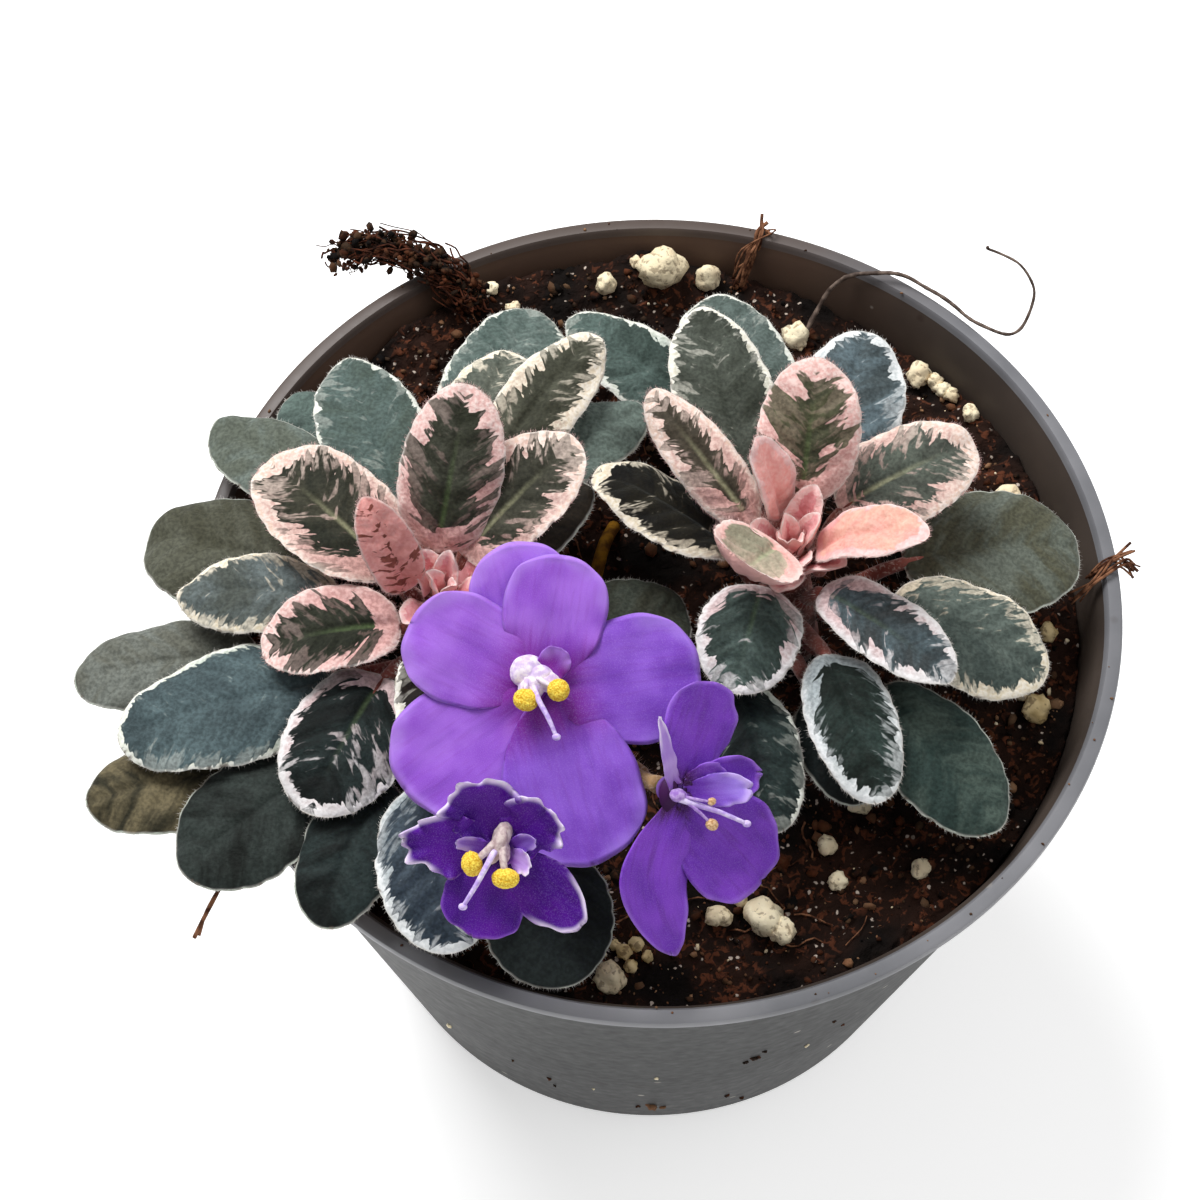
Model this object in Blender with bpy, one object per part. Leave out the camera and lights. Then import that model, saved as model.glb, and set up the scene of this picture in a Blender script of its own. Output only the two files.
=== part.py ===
"""Potted African violet: two variegated crowns and three flowers in one plastic nursery pot.

Lengths are in millimetres up to the moment a mesh is made, when they become metres.
The origin is the middle of the pot's foot, +Z is up and -Y is the front.
"""

import math
from typing import NamedTuple

import bmesh
import bpy
from mathutils import Matrix, Vector

MM = 0.001
GAP = 0.3  # clearance between pieces that touch

# Pot, a tapered nursery pot with a flat lip.
POT_HEIGHT = 72.0
RIM_RADIUS = 52.5
LIP_WIDTH = 2.0
LIP_DEPTH = 1.5
LIP_STEP = 1.2
FOOT_RADIUS = 36.0
WALL = 1.4
FLOOR = 1.8
FOOT_CHAMFER = 1.2
POT_SIDES = 48
DRAIN_HOLES = 8
DRAIN_RADIUS = 3.0
DRAIN_CIRCLE = 28.0

# Potting mix: its level below the rim, its hump at the back left, and the flat seats of the crowns.
MIX_LEVEL = 65.0
HUMP_HEIGHT = 3.5
HUMP_CENTRE = (1.0, 46.0)
HUMP_SPREAD = 13.0
SEAT_RADIUS = 8.0
MIX_SIDES = 32
MIX_RINGS = 6

# Crowns: the short upright stems that carry all leaves. Heights on them count from the rim's level.
STEM_FOOT_RADIUS = 4.4
STEM_TOP_RADIUS = 2.0
STEM_TOP = 12.5
STEM_FOOT = MIX_LEVEL + GAP - POT_HEIGHT
STEM_SIDES = 12
FIRST_NODE = -4.5
LAST_NODE = 11.0

# Leaves.
PETIOLE_RADIUS = 0.9
PETIOLE_RISE = 25.0
BLADE_THICKNESS = 1.1
BLADE_STATIONS = (0.05, 0.17, 0.34, 0.52, 0.70, 0.86, 0.96)
BLADE_SQUARENESS = 2.15
BLADE_SECTION = (
    (1, 0),
    (0.5, 0.75),
    (0, 1),
    (-0.5, 0.75),
    (-1, 0),
    (-0.5, -0.75),
    (0, -1),
    (0.5, -0.75),
)
BASE_SHIFT = 0.93

# Flowers.
PETAL_THICKNESS = 0.6
LOBE_STEP = 8.0  # degrees between two points of a flower's edge
TUBE_LENGTH = 2.0
TUBE_RADIUS = 1.6
ANTHER_RADIUS = 1.2
ANTHER_SPREAD = 1.9
FILAMENT_LENGTH = 2.0
STYLE_RADIUS = 0.3
STIGMA_RADIUS = 0.5
STALK_RADIUS = 0.75
CALYX_RADIUS = 1.9
CALYX_LENGTH = 2.6


GREEN = "green"
CREAM = "cream"
PINK = "pink"
YOUNG = "young"


class Leaf(NamedTuple):
    """One leaf, measured from its crown's axis: heights stand above the pot's rim.

    Its look is plain GREEN, edged with CREAM or PINK, or all over pink while YOUNG.
    The blade's base lies at `azimuth`, `reach` and `height`, its tip `swing` degrees further round.
    """

    look: str
    azimuth: float
    reach: float
    height: float
    swing: float
    tip_reach: float
    tip_height: float
    width: float
    roll: float = 0.0
    arch: float = 1.0
    cup: float = -0.8


class Crown(NamedTuple):
    """One plant: where its stem stands, its heart leaves and its leaves, oldest and lowest first."""

    name: str
    x: float
    y: float
    heart: tuple
    leaves: tuple


class Lobe(NamedTuple):
    """One lobe of a flower: its direction round the face, its reach, its full width and its forward lift."""

    direction: float
    reach: float
    width: float
    lift: float


class Flower(NamedTuple):
    """One flower: the middle of its face, where it looks, its lobes and the way of its stalk.

    The anthers hang `droop` off the middle and the style reaches `style` further, both turned by `spin`.
    """

    centre: tuple
    azimuth: float
    elevation: float
    lobes: tuple
    droop: float
    style: float
    spin: float
    stalk_azimuth: float
    stalk_node: float
    stalk_bow: tuple


LEFT_CROWN = Crown(
    "left",
    -23.0,
    -9.0,
    heart=(
        Leaf(YOUNG, 128, 1.0, 11.5, 0, 4.0, 16.5, 3.5, 0, 0.3, 0.6),
        Leaf(YOUNG, -20, 1.0, 11.5, 0, 5.0, 16.5, 4.0, 0, 0.3, 0.6),
    ),
    leaves=(
        Leaf(GREEN, 114, 24, 3.5, 9, 38.5, 1.5, 11.0),
        Leaf(GREEN, 86, 24, 5.0, -5, 46.5, 2.0, 14.0, 0, 1.2, -1.0),
        Leaf(GREEN, -170, 22, 5.0, 0, 41.5, 3.5, 11.0, 0, 1.2, -1.0),
        Leaf(GREEN, -138, 25, 4.0, -12, 43.5, 3.0, 12.0, 0, 1.2, -1.0),
        Leaf(GREEN, -68, 29, 4.0, -2, 42.5, 0.3, 14.0, 0, 1.0, -1.0),
        Leaf(GREEN, -5, 13, 5.5, 14, 27.0, 3.5, 12.5),
        Leaf(GREEN, 162, 15, 7.0, -1, 37.0, 3.5, 15.5, 0, 1.5, -1.2),
        Leaf(GREEN, 132, 20, 7.5, 5, 39.3, 4.0, 10.5),
        Leaf(GREEN, -124, 23, 7.0, -7, 40.0, 4.5, 14.0),
        Leaf(GREEN, -106, 22, 8.5, -1, 38.0, 5.5, 10.5),
        Leaf(GREEN, -144, 15, 9.0, -11, 38.0, 7.0, 14.0, 0, 1.5, -1.2),
        Leaf(GREEN, 69, 18, 10.0, -17, 34.0, 10.0, 9.5),
        Leaf(CREAM, -90, 22, 9.5, 4, 39.5, 7.0, 13.5),
        Leaf(GREEN, 50, 7, 10.5, -3, 22.0, 11.0, 8.0),
        Leaf(GREEN, 113, 13, 10.5, 0, 36.0, 8.5, 12.5),
        Leaf(CREAM, 178, 13, 11.0, 0, 29.5, 9.0, 10.0, 0, 1.2, -0.8),
        Leaf(CREAM, -122, 12, 11.5, 5, 28.5, 10.0, 13.5),
        Leaf(CREAM, 92, 16, 12.0, -12, 33.5, 12.0, 9.5),
        Leaf(CREAM, 75, 17, 13.5, -9, 37.0, 14.5, 9.5),
        Leaf(PINK, -142, 7, 13.5, -18, 20.5, 12.0, 11.0, 0, 1.0, 0.8),
        Leaf(PINK, 158, 7, 14.5, -14, 25.5, 15.0, 14.5, 0, 0.8, 0.8),
        Leaf(PINK, -84, 8, 15.0, -4, 22.0, 16.0, 10.0, 0, 0.8, 0.6),
        Leaf(CREAM, 60, 5, 15.5, -14, 20.0, 22.0, 11.5, 0, 0.8, 0.8),
        Leaf(PINK, 98, 5, 17.0, -14, 18.5, 26.5, 11.0, 8, 1.2, -1.0),
        Leaf(YOUNG, 170, 5, 18.0, -18, 9.5, 25.0, 6.5, -20, 0.3, 1.0),
    ),
)

RIGHT_CROWN = Crown(
    "right",
    14.5,
    -1.5,
    heart=(
        Leaf(YOUNG, -75, 1.0, 11.5, 0, 4.5, 16.5, 3.5, 0, 0.3, 0.6),
        Leaf(YOUNG, 60, 1.0, 12.0, 0, 5.0, 19.0, 4.0, 0, 0.3, 0.6),
    ),
    leaves=(
        Leaf(GREEN, 112, 24, 3.5, 13, 45.0, 3.0, 10.0),
        Leaf(GREEN, -76, 15, 4.5, 4, 27.0, 2.0, 9.0),
        Leaf(GREEN, 98, 18, 7.0, 6, 40.5, 4.5, 13.0),
        Leaf(GREEN, -55, 18, 6.5, 4, 36.5, 2.5, 12.0),
        Leaf(GREEN, -108, 16, 7.5, 16, 31.0, 5.0, 9.5),
        Leaf(GREEN, 11, 14, 7.0, 0, 33.5, 4.0, 16.5, 0, 1.4, -1.0),
        Leaf(CREAM, -20, 13, 9.0, -2, 30.5, 6.0, 13.0),
        Leaf(CREAM, 71, 12, 10.0, 3, 31.0, 11.5, 13.0),
        Leaf(CREAM, -71, 15, 10.5, 0, 30.0, 8.0, 10.5),
        Leaf(CREAM, 165, 7, 10.0, -9, 24.0, 12.0, 11.0, 20, 0.8, -0.8),
        Leaf(CREAM, 117, 11, 12.0, -8, 33.5, 12.5, 11.5),
        Leaf(CREAM, -120, 7, 12.5, 11, 18.5, 11.0, 12.5, 0, 0.8, -0.6),
        Leaf(PINK, 42, 8, 13.5, -10, 23.5, 16.0, 13.0, 0, 0.8, -0.6),
        Leaf(PINK, -55, 7, 13.0, 12, 23.5, 13.0, 8.5, 0, 0.8, 0.4),
        Leaf(PINK, 150, 6, 14.5, -14, 22.5, 19.0, 8.0, -14, 0.8, -0.6),
        Leaf(PINK, 80, 5, 17.5, 3, 16.5, 25.5, 11.0, 0, 1.0, -0.8),
        Leaf(YOUNG, -130, 5, 17.0, 0, 11.5, 22.0, 11.0, 0, -0.8, 3.0),
        Leaf(YOUNG, -22, 5, 18.0, 7, 14.5, 22.5, 8.0, 0, 0.6, 0.6),
        Leaf(YOUNG, 120, 4, 18.5, 10, 7.5, 25.5, 5.0, 0, 0.3, 0.6),
    ),
)

CROWNS = (LEFT_CROWN, RIGHT_CROWN)

FLOWERS = (
    Flower(
        centre=(-11.6, -25.1, 94.0),
        azimuth=-90,
        elevation=58,
        lobes=(
            Lobe(84, 14.9, 10.5, 0.5),
            Lobe(110, 14.4, 9.0, -0.8),
            Lobe(154, 15.2, 11.0, 0.4),
            Lobe(218, 17.8, 13.5, 0.5),
            Lobe(289, 18.8, 14.5, 0.6),
            Lobe(8, 16.5, 13.0, 0.5),
        ),
        droop=0.8,
        style=4.8,
        spin=15,
        stalk_azimuth=-40,
        stalk_node=7.5,
        stalk_bow=(3.0, -8.0, 3.0),
    ),
    Flower(
        centre=(-14.9, -41.7, 90.0),
        azimuth=-95,
        elevation=50,
        lobes=(
            Lobe(52, 7.8, 6.5, 3.0),
            Lobe(118, 8.2, 7.0, 3.0),
            Lobe(179, 9.8, 7.0, 1.5),
            Lobe(262, 10.0, 8.5, 0.5),
            Lobe(318, 11.2, 6.5, 0.5),
        ),
        droop=2.6,
        style=4.8,
        spin=-28,
        stalk_azimuth=-62,
        stalk_node=6.0,
        stalk_bow=(4.0, -10.0, 2.0),
    ),
    Flower(
        centre=(2.8, -35.2, 91.5),
        azimuth=-45,
        elevation=40,
        lobes=(
            Lobe(35, 11.6, 8.5, 0.5),
            Lobe(82, 9.0, 5.0, 2.5),
            Lobe(229, 17.2, 8.5, 0.0),
            Lobe(284, 14.0, 10.5, 1.5),
            Lobe(340, 9.2, 6.0, 3.0),
        ),
        droop=3.0,
        style=4.0,
        spin=30,
        stalk_azimuth=-25,
        stalk_node=4.0,
        stalk_bow=(8.0, -8.0, 3.0),
    ),
)

# Loose bits that lie over the rim: a thread root at the back right and a coir tuft at the back left.
ROOT_RADIUS = 0.35
ROOT_STEP = 1.8
ROOT_ROUTE = (
    (17.0, 40.5, 66.6),
    (18.5, 43.0, 68.5),
    (21.0, 44.5, 71.5),
    (26.0, 44.5, 73.2),
    (31.0, 42.5, 73.0),
    (37.0, 37.5, 72.9),
    (40.5, 36.0, 73.0),
    (42.5, 37.0, 75.0),
    (43.0, 39.0, 78.0),
    (41.0, 41.5, 80.0),
    (37.5, 43.0, 80.5),
)
TUFT_RADIUS = 1.7
TUFT_ROUTE = (
    (-23.5, 40.5, 71.0),
    (-27.5, 42.5, 74.0),
    (-31.0, 43.5, 75.2),
    (-35.0, 44.5, 75.5),
    (-39.0, 44.0, 74.5),
)

POT_COLOUR = (0.055, 0.056, 0.058)
MIX_COLOUR = (0.022, 0.012, 0.008)
STEM_COLOUR = (0.16, 0.075, 0.05)
LEAF_COLOURS = {
    GREEN: (0.05, 0.09, 0.08),
    CREAM: (0.25, 0.29, 0.24),
    PINK: (0.36, 0.22, 0.19),
    YOUNG: (0.62, 0.26, 0.22),
}
PETAL_COLOUR = (0.26, 0.09, 0.60)
ANTHER_COLOUR = (0.85, 0.62, 0.10)
FIBRE_COLOUR = (0.06, 0.028, 0.018)


def clear_scene():
    """Remove every object, so that only the plant is in the scene."""
    for obj in list(bpy.data.objects):
        bpy.data.objects.remove(obj)


def material(name, colour, roughness):
    """A Principled material of one colour."""
    made = bpy.data.materials.new(name)
    made.use_nodes = True
    shader = made.node_tree.nodes["Principled BSDF"]
    shader.inputs["Base Color"].default_value = (*colour, 1.0)
    shader.inputs["Roughness"].default_value = roughness
    shader.inputs["Metallic"].default_value = 0.0
    return made


def add_object(name, bm, finish, parent=None, matrix=None):
    """Turn a closed bmesh in millimetres into a smooth shaded object in metres."""
    bmesh.ops.recalc_face_normals(bm, faces=bm.faces)
    bm.transform(Matrix.Scale(MM, 4))
    mesh = bpy.data.meshes.new(name)
    bm.to_mesh(mesh)
    bm.free()
    mesh.materials.append(finish)
    mesh.shade_smooth()
    obj = bpy.data.objects.new(name, mesh)
    bpy.context.collection.objects.link(obj)
    obj.parent = parent
    if matrix is not None:
        obj.matrix_local = matrix
    return obj


def add_empty(name, x, y, z):
    """An empty that carries the pieces of one crown or one flower."""
    empty = bpy.data.objects.new(name, None)
    empty.location = (x * MM, y * MM, z * MM)
    bpy.context.collection.objects.link(empty)
    return empty


def combine(target, helper, operation):
    """Cut the helper out of the target, or join it on, and hide the helper."""
    helper.hide_render = True
    helper.display_type = "WIRE"
    boolean = target.modifiers.new(f"{operation.lower()}_{helper.name}", "BOOLEAN")
    boolean.operation = operation
    boolean.solver = "EXACT"
    boolean.use_self = operation == "UNION"
    boolean.object = helper


def loft(rings, start, end):
    """A closed body through rings of equally many points, closed by one point at each end."""
    bm = bmesh.new()
    loops = [[bm.verts.new(point) for point in ring] for ring in rings]
    for near, far in zip(loops, loops[1:]):
        for i in range(len(near)):
            j = (i + 1) % len(near)
            bm.faces.new((near[i], near[j], far[j], far[i]))
    for loop, pole in ((loops[0], bm.verts.new(start)), (loops[-1], bm.verts.new(end))):
        for i in range(len(loop)):
            bm.faces.new((loop[i], loop[(i + 1) % len(loop)], pole))
    return bm


def lathe(profile, sides):
    """Turn an open profile of (radius, height) pairs, from axis to axis, into a closed body."""
    bm = bmesh.new()
    points = [bm.verts.new((radius, 0.0, height)) for radius, height in profile]
    edges = [bm.edges.new(pair) for pair in zip(points, points[1:])]
    bmesh.ops.spin(
        bm,
        geom=points + edges,
        cent=(0, 0, 0),
        axis=(0, 0, 1),
        angle=2 * math.pi,
        steps=sides,
        use_merge=True,
    )
    bmesh.ops.remove_doubles(bm, verts=bm.verts, dist=1e-4)
    return bm


def polar(azimuth, reach, height):
    """A point at an azimuth in degrees, a horizontal distance and a height."""
    angle = math.radians(azimuth)
    return Vector((reach * math.cos(angle), reach * math.sin(angle), height))


def bezier(a, b, c, t):
    """The point and the direction of a quadratic curve."""
    point = a * (1 - t) ** 2 + b * 2 * t * (1 - t) + c * t**2
    tangent = (b - a) * (1 - t) + (c - b) * t
    return point, tangent.normalized()


def smooth_route(points, step):
    """Points at about every `step` along a Catmull-Rom curve through the route."""
    route = [Vector(point) for point in points]
    route = [route[0] * 2 - route[1]] + route + [route[-1] * 2 - route[-2]]
    fine = []
    for a, b, c, d in zip(route, route[1:], route[2:], route[3:]):
        pieces = max(1, round((c - b).length / step))
        for i in range(pieces):
            t = i / pieces
            fine.append(
                b
                + (c - a) * (t / 2)
                + (a * 2 - b * 5 + c * 4 - d) * (t**2 / 2)
                + (b * 3 - a - c * 3 + d) * (t**3 / 2)
            )
    fine.append(route[-2])
    return fine


def tube_rings(points, radii, sides):
    """Rings of points round a route, each square to it."""
    rings = []
    for i, (point, radius) in enumerate(zip(points, radii)):
        ahead = points[min(i + 1, len(points) - 1)] - points[max(i - 1, 0)]
        across = ahead.cross(Vector((0, 0, 1))).normalized()
        up = across.cross(ahead).normalized()
        turns = [2 * math.pi * k / sides for k in range(sides)]
        rings.append([point + (across * math.cos(a) + up * math.sin(a)) * radius for a in turns])
    return rings


def wall_radius(height):
    """Radius of the pot's outer wall below the lip."""
    top = RIM_RADIUS - LIP_STEP
    return FOOT_RADIUS + (top - FOOT_RADIUS) * height / (POT_HEIGHT - LIP_DEPTH)


def make_pot(finish):
    """The pot: one turned wall, floor and lip, with a ring of drain holes through the floor."""
    lip_foot = POT_HEIGHT - LIP_DEPTH
    inner_top = RIM_RADIUS - LIP_WIDTH
    profile = (
        (0.0, FLOOR),
        (wall_radius(FLOOR) - WALL, FLOOR),
        (wall_radius(lip_foot) - WALL, lip_foot),
        (inner_top, POT_HEIGHT - 1.0),
        (inner_top + 0.5, POT_HEIGHT),
        (RIM_RADIUS - 0.5, POT_HEIGHT),
        (RIM_RADIUS, POT_HEIGHT - 0.6),
        (RIM_RADIUS - 0.3, lip_foot),
        (wall_radius(lip_foot - 0.8), lip_foot - 0.8),
        (wall_radius(FOOT_CHAMFER), FOOT_CHAMFER),
        (FOOT_RADIUS - FOOT_CHAMFER, 0.0),
        (0.0, 0.0),
    )
    pot = add_object("pot", lathe(profile, POT_SIDES), finish)
    pot.data.set_sharp_from_angle(angle=math.radians(35))
    drill = bmesh.new()
    for i in range(DRAIN_HOLES):
        place = Matrix.Translation(polar((i + 0.5) * 360 / DRAIN_HOLES, DRAIN_CIRCLE, 0))
        bmesh.ops.create_cone(
            drill,
            cap_ends=True,
            segments=12,
            radius1=DRAIN_RADIUS,
            radius2=DRAIN_RADIUS,
            depth=6 * FLOOR,
            matrix=place,
        )
    combine(pot, add_object("drain_drill", drill, finish), "DIFFERENCE")


def mix_height(x, y):
    """Height of the potting mix: a hump at the back left, small waves, and a flat seat at each crown."""
    hump = math.hypot(x - HUMP_CENTRE[0], y - HUMP_CENTRE[1]) / HUMP_SPREAD
    height = MIX_LEVEL + HUMP_HEIGHT * math.exp(-(hump**2))
    height += 0.5 * math.sin(x / 6.0 + 1.0) * math.cos(y / 5.0)
    for crown in CROWNS:
        near = math.hypot(x - crown.x, y - crown.y) / SEAT_RADIUS
        blend = min(1.0, max(0.0, 2.0 - near))
        height += (MIX_LEVEL - height) * blend
    return height


def make_mix(finish):
    """The potting mix: it fills the pot from just above the floor, and its top is slightly uneven."""
    floor = FLOOR + GAP
    top_radius = wall_radius(MIX_LEVEL - 1.0) - WALL - GAP
    radii = [top_radius * (k / MIX_RINGS) ** 0.8 for k in range(1, MIX_RINGS + 1)]
    rings = []
    for radius in radii:
        around = [polar(360 * k / MIX_SIDES, radius, 0) for k in range(MIX_SIDES)]
        rings.append([Vector((p.x, p.y, mix_height(p.x, p.y))) for p in around])
    foot = wall_radius(floor) - WALL - GAP
    rings.append([polar(360 * k / MIX_SIDES, foot, floor) for k in range(MIX_SIDES)])
    add_object("potting_mix", loft(rings, (0, 0, mix_height(0, 0)), (0, 0, floor)), finish)


def stem_radius(height):
    """Radius of a crown's stem at a height above the rim's level."""
    share = min(1.0, max(0.0, (height - STEM_FOOT) / (STEM_TOP - STEM_FOOT)))
    return STEM_FOOT_RADIUS + (STEM_TOP_RADIUS - STEM_FOOT_RADIUS) * share


def blade_shape(t):
    """Share of a blade's half width at a share of its length: an oval, fullest just below its middle."""
    off = abs(2 * t**BASE_SHIFT - 1)
    return (1 - off**BLADE_SQUARENESS) ** 0.5


def leaf_body(leaf, start):
    """One leaf in its crown's frame at azimuth 0: a round petiole that widens into a curved blade."""
    base = Vector((leaf.reach, 0, leaf.height))
    tip = polar(leaf.swing, leaf.tip_reach, leaf.tip_height)
    chord = (tip - base).normalized()
    level = Vector((0, 0, 1)).cross(chord).normalized()
    side = Matrix.Rotation(math.radians(leaf.roll), 3, chord) @ level
    normal = chord.cross(side)
    bend = (base + tip) / 2 + normal * (2 * leaf.arch)
    leaving = (bend - base).normalized()
    run = (base - start).length
    rise = Matrix.Rotation(-math.radians(PETIOLE_RISE), 3, "Y") @ Vector((1, 0, 0))
    knee = (start + rise * run * 0.45 + base - leaving * run * 0.45) / 2

    def section(point, ahead, half_width, half_depth, cup):
        across = (side - ahead * side.dot(ahead)).normalized()
        up = ahead.cross(across)
        ring = []
        for u, depth in BLADE_SECTION:
            lift = cup * u * u + half_depth * depth
            ring.append(point + across * (u * half_width) + up * lift)
        return ring

    def stalk_ring(point, ahead, radius):
        across = (side - ahead * side.dot(ahead)).normalized()
        up = ahead.cross(across)
        turns = [math.pi * k / 4 for k in range(8)]
        return [point + (across * math.cos(a) + up * math.sin(a)) * radius for a in turns]

    rings = []
    for share, radius in ((0.06, 0.75), (0.45, 1.0), (0.85, 0.92)):
        point, ahead = bezier(start, knee, base, share)
        rings.append(stalk_ring(point, ahead, PETIOLE_RADIUS * radius))
    half = leaf.width / 2
    for t in BLADE_STATIONS:
        point, ahead = bezier(base, bend, tip, t)
        share = blade_shape(t)
        depth = BLADE_THICKNESS / 2 * (0.7 + 0.3 * share)
        rings.append(section(point, ahead, half * share, depth, leaf.cup * share))
    return loft(rings, start, tip)


def make_leaf(name, leaf, node, finish, crown_empty):
    """One leaf, turned to its azimuth; its petiole ends just off the stem at the height of its node."""
    climb = max(0.0, leaf.height - node)
    steepness = climb / math.hypot(leaf.reach, climb)
    start = Vector((stem_radius(node) + GAP + PETIOLE_RADIUS * 0.8 * steepness, 0, node))
    turn = Matrix.Rotation(math.radians(leaf.azimuth), 4, "Z")
    add_object(name, leaf_body(leaf, start), finish, crown_empty, turn)


def make_crown(crown, stem_finish, leaf_finishes):
    """One plant: its stem with the heart leaves grown on it, and its leaves from the lowest up."""
    empty = add_empty(f"{crown.name}_crown_axis", crown.x, crown.y, POT_HEIGHT)
    profile = (
        (0.0, STEM_FOOT),
        (STEM_FOOT_RADIUS, STEM_FOOT),
        (STEM_TOP_RADIUS, STEM_TOP),
        (STEM_TOP_RADIUS * 0.6, STEM_TOP + 0.6),
        (0.0, STEM_TOP + 0.9),
    )
    stem = add_object(f"{crown.name}_crown_stem", lathe(profile, STEM_SIDES), stem_finish, empty)
    for i, leaf in enumerate(crown.heart, start=1):
        start = Vector((0.4, 0, leaf.height - 3.0))
        turn = Matrix.Rotation(math.radians(leaf.azimuth), 4, "Z")
        finish = leaf_finishes[leaf.look]
        bud = add_object(f"{crown.name}_heart_{i}", leaf_body(leaf, start), finish, empty, turn)
        combine(stem, bud, "UNION")
    spacing = (LAST_NODE - FIRST_NODE) / (len(crown.leaves) - 1)
    for i, leaf in enumerate(crown.leaves):
        node = FIRST_NODE + spacing * i
        make_leaf(f"{crown.name}_leaf_{i + 1:02d}", leaf, node, leaf_finishes[leaf.look], empty)


def lobe_outline(lobes, angle):
    """Reach and lift of a flower's edge at an angle in degrees: the furthest lobe there wins."""
    best_reach, best_lift = 0.0, 0.0
    for lobe in lobes:
        off = (angle - lobe.direction + 180) % 360 - 180
        along = lobe.reach - lobe.width / 2
        radius = lobe.width / 2
        sideways = along * math.sin(math.radians(off))
        if abs(off) < 90 and abs(sideways) < radius:
            forward = along * math.cos(math.radians(off))
            reach = forward + math.sqrt(radius**2 - sideways**2)
            if reach > best_reach:
                best_reach, best_lift = reach, lobe.lift
    return max(best_reach, 4.0), best_lift


def corolla_body(flower):
    """The petals, grown together at the throat, with the short tube behind them."""
    angles = []
    order = sorted(lobe.direction % 360 for lobe in flower.lobes)
    for here, there in zip(order, order[1:] + [order[0] + 360]):
        count = round((there - here) / LOBE_STEP)
        angles += [here + (there - here) * k / count for k in range(count)]
    shares = (0.28, 0.62, 0.9)
    half = PETAL_THICKNESS / 2

    def ring(share, offset):
        points = []
        for angle in angles:
            reach, lift = lobe_outline(flower.lobes, angle)
            points.append(polar(angle, reach * share, lift * share**2 + offset))
        return points

    tube = [polar(angle, TUBE_RADIUS, -half - TUBE_LENGTH * 0.8) for angle in angles]
    rings = [tube]
    rings += [ring(share, -half) for share in shares]
    rings.append(ring(1.0, 0.0))
    rings += [ring(share, half) for share in reversed(shares)]
    return loft(rings, (0, 0, -half - TUBE_LENGTH), (0, 0, half))


def make_stamens(name, flower, finish, empty, turn):
    """The leaning filament column with its two anthers, their bridge, and the style with its stigma."""
    foot = PETAL_THICKNESS / 2 + GAP
    top = Vector((0, -flower.droop, foot + FILAMENT_LENGTH))
    root = Vector((0, 0, foot))
    middle = Vector((0, -flower.droop * 0.4, foot + FILAMENT_LENGTH * 0.6))
    rings = [
        [point + polar(45 * k, radius, 0) for k in range(8)]
        for point, radius in ((root, 0.9), (middle, 0.8), (top, 0.6))
    ]
    around = turn @ Matrix.Rotation(math.radians(flower.spin), 4, "Z")
    column = add_object(f"{name}_stamens", loft(rings, root, top), finish, empty, around)
    anthers = bmesh.new()
    shapes = (
        ((-ANTHER_SPREAD, 0, 0.2), (1.0, 1.1, 0.8), ANTHER_RADIUS),
        ((ANTHER_SPREAD, 0, 0.2), (1.0, 1.1, 0.8), ANTHER_RADIUS),
        ((0, 0, 0), (ANTHER_SPREAD, 0.8, 0.7), 1.0),
        ((0, -flower.style, 1.2), (1.0, 1.0, 1.0), STIGMA_RADIUS),
    )
    for offset, scale, radius in shapes:
        place = Matrix.Translation(top + Vector(offset)) @ Matrix.Diagonal((*scale, 1))
        bmesh.ops.create_icosphere(anthers, subdivisions=2, radius=radius, matrix=place)
    reach = Vector((0, -flower.style, 1.2))
    lean = reach.to_track_quat("Z", "Y").to_matrix().to_4x4()
    bmesh.ops.create_cone(
        anthers,
        cap_ends=True,
        segments=8,
        radius1=STYLE_RADIUS * 1.2,
        radius2=STYLE_RADIUS,
        depth=reach.length,
        matrix=Matrix.Translation(top + reach / 2) @ lean,
    )
    combine(column, add_object(f"{name}_anthers", anthers, finish, empty, around), "UNION")


def make_flower(name, flower, crown, finishes):
    """One flower: corolla, anthers with the style, and a stalk that ends in the calyx."""
    petal_finish, anther_finish, stalk_finish = finishes
    empty = add_empty(f"{name}_face", *flower.centre)
    look = polar(flower.azimuth, 1, math.tan(math.radians(flower.elevation))).normalized()
    turn = look.to_track_quat("Z", "Y").to_matrix().to_4x4()
    add_object(f"{name}_corolla", corolla_body(flower), petal_finish, empty, turn)
    make_stamens(name, flower, anther_finish, empty, turn)

    back = turn @ Vector((0, 0, -PETAL_THICKNESS / 2 - TUBE_LENGTH - GAP))
    end = Vector(flower.centre) + back
    off_stem = stem_radius(flower.stalk_node) + GAP + STALK_RADIUS * 0.8
    start = polar(flower.stalk_azimuth, off_stem, POT_HEIGHT + flower.stalk_node)
    start += Vector((crown.x, crown.y, 0))
    way = (start + end) / 2 + Vector(flower.stalk_bow)
    route = smooth_route((start, way, end - look * CALYX_LENGTH * 2, end), 5.0)
    radii = [STALK_RADIUS] * (len(route) - 2) + [CALYX_RADIUS * 0.6, CALYX_RADIUS]
    rings = tube_rings(route, radii, 8)
    add_object(f"{name}_stalk", loft(rings[:-1], start, end), stalk_finish)


def make_root(finish):
    """The thread root that climbs out of the mix, over the rim, and curls in the air behind it."""
    route = smooth_route(ROOT_ROUTE, ROOT_STEP)
    rings = tube_rings(route, [ROOT_RADIUS] * len(route), 6)
    end = Vector((0, 0, ROOT_RADIUS))
    add_object("thread_root", loft(rings, route[0] - end, route[-1] + end), finish)


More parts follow.
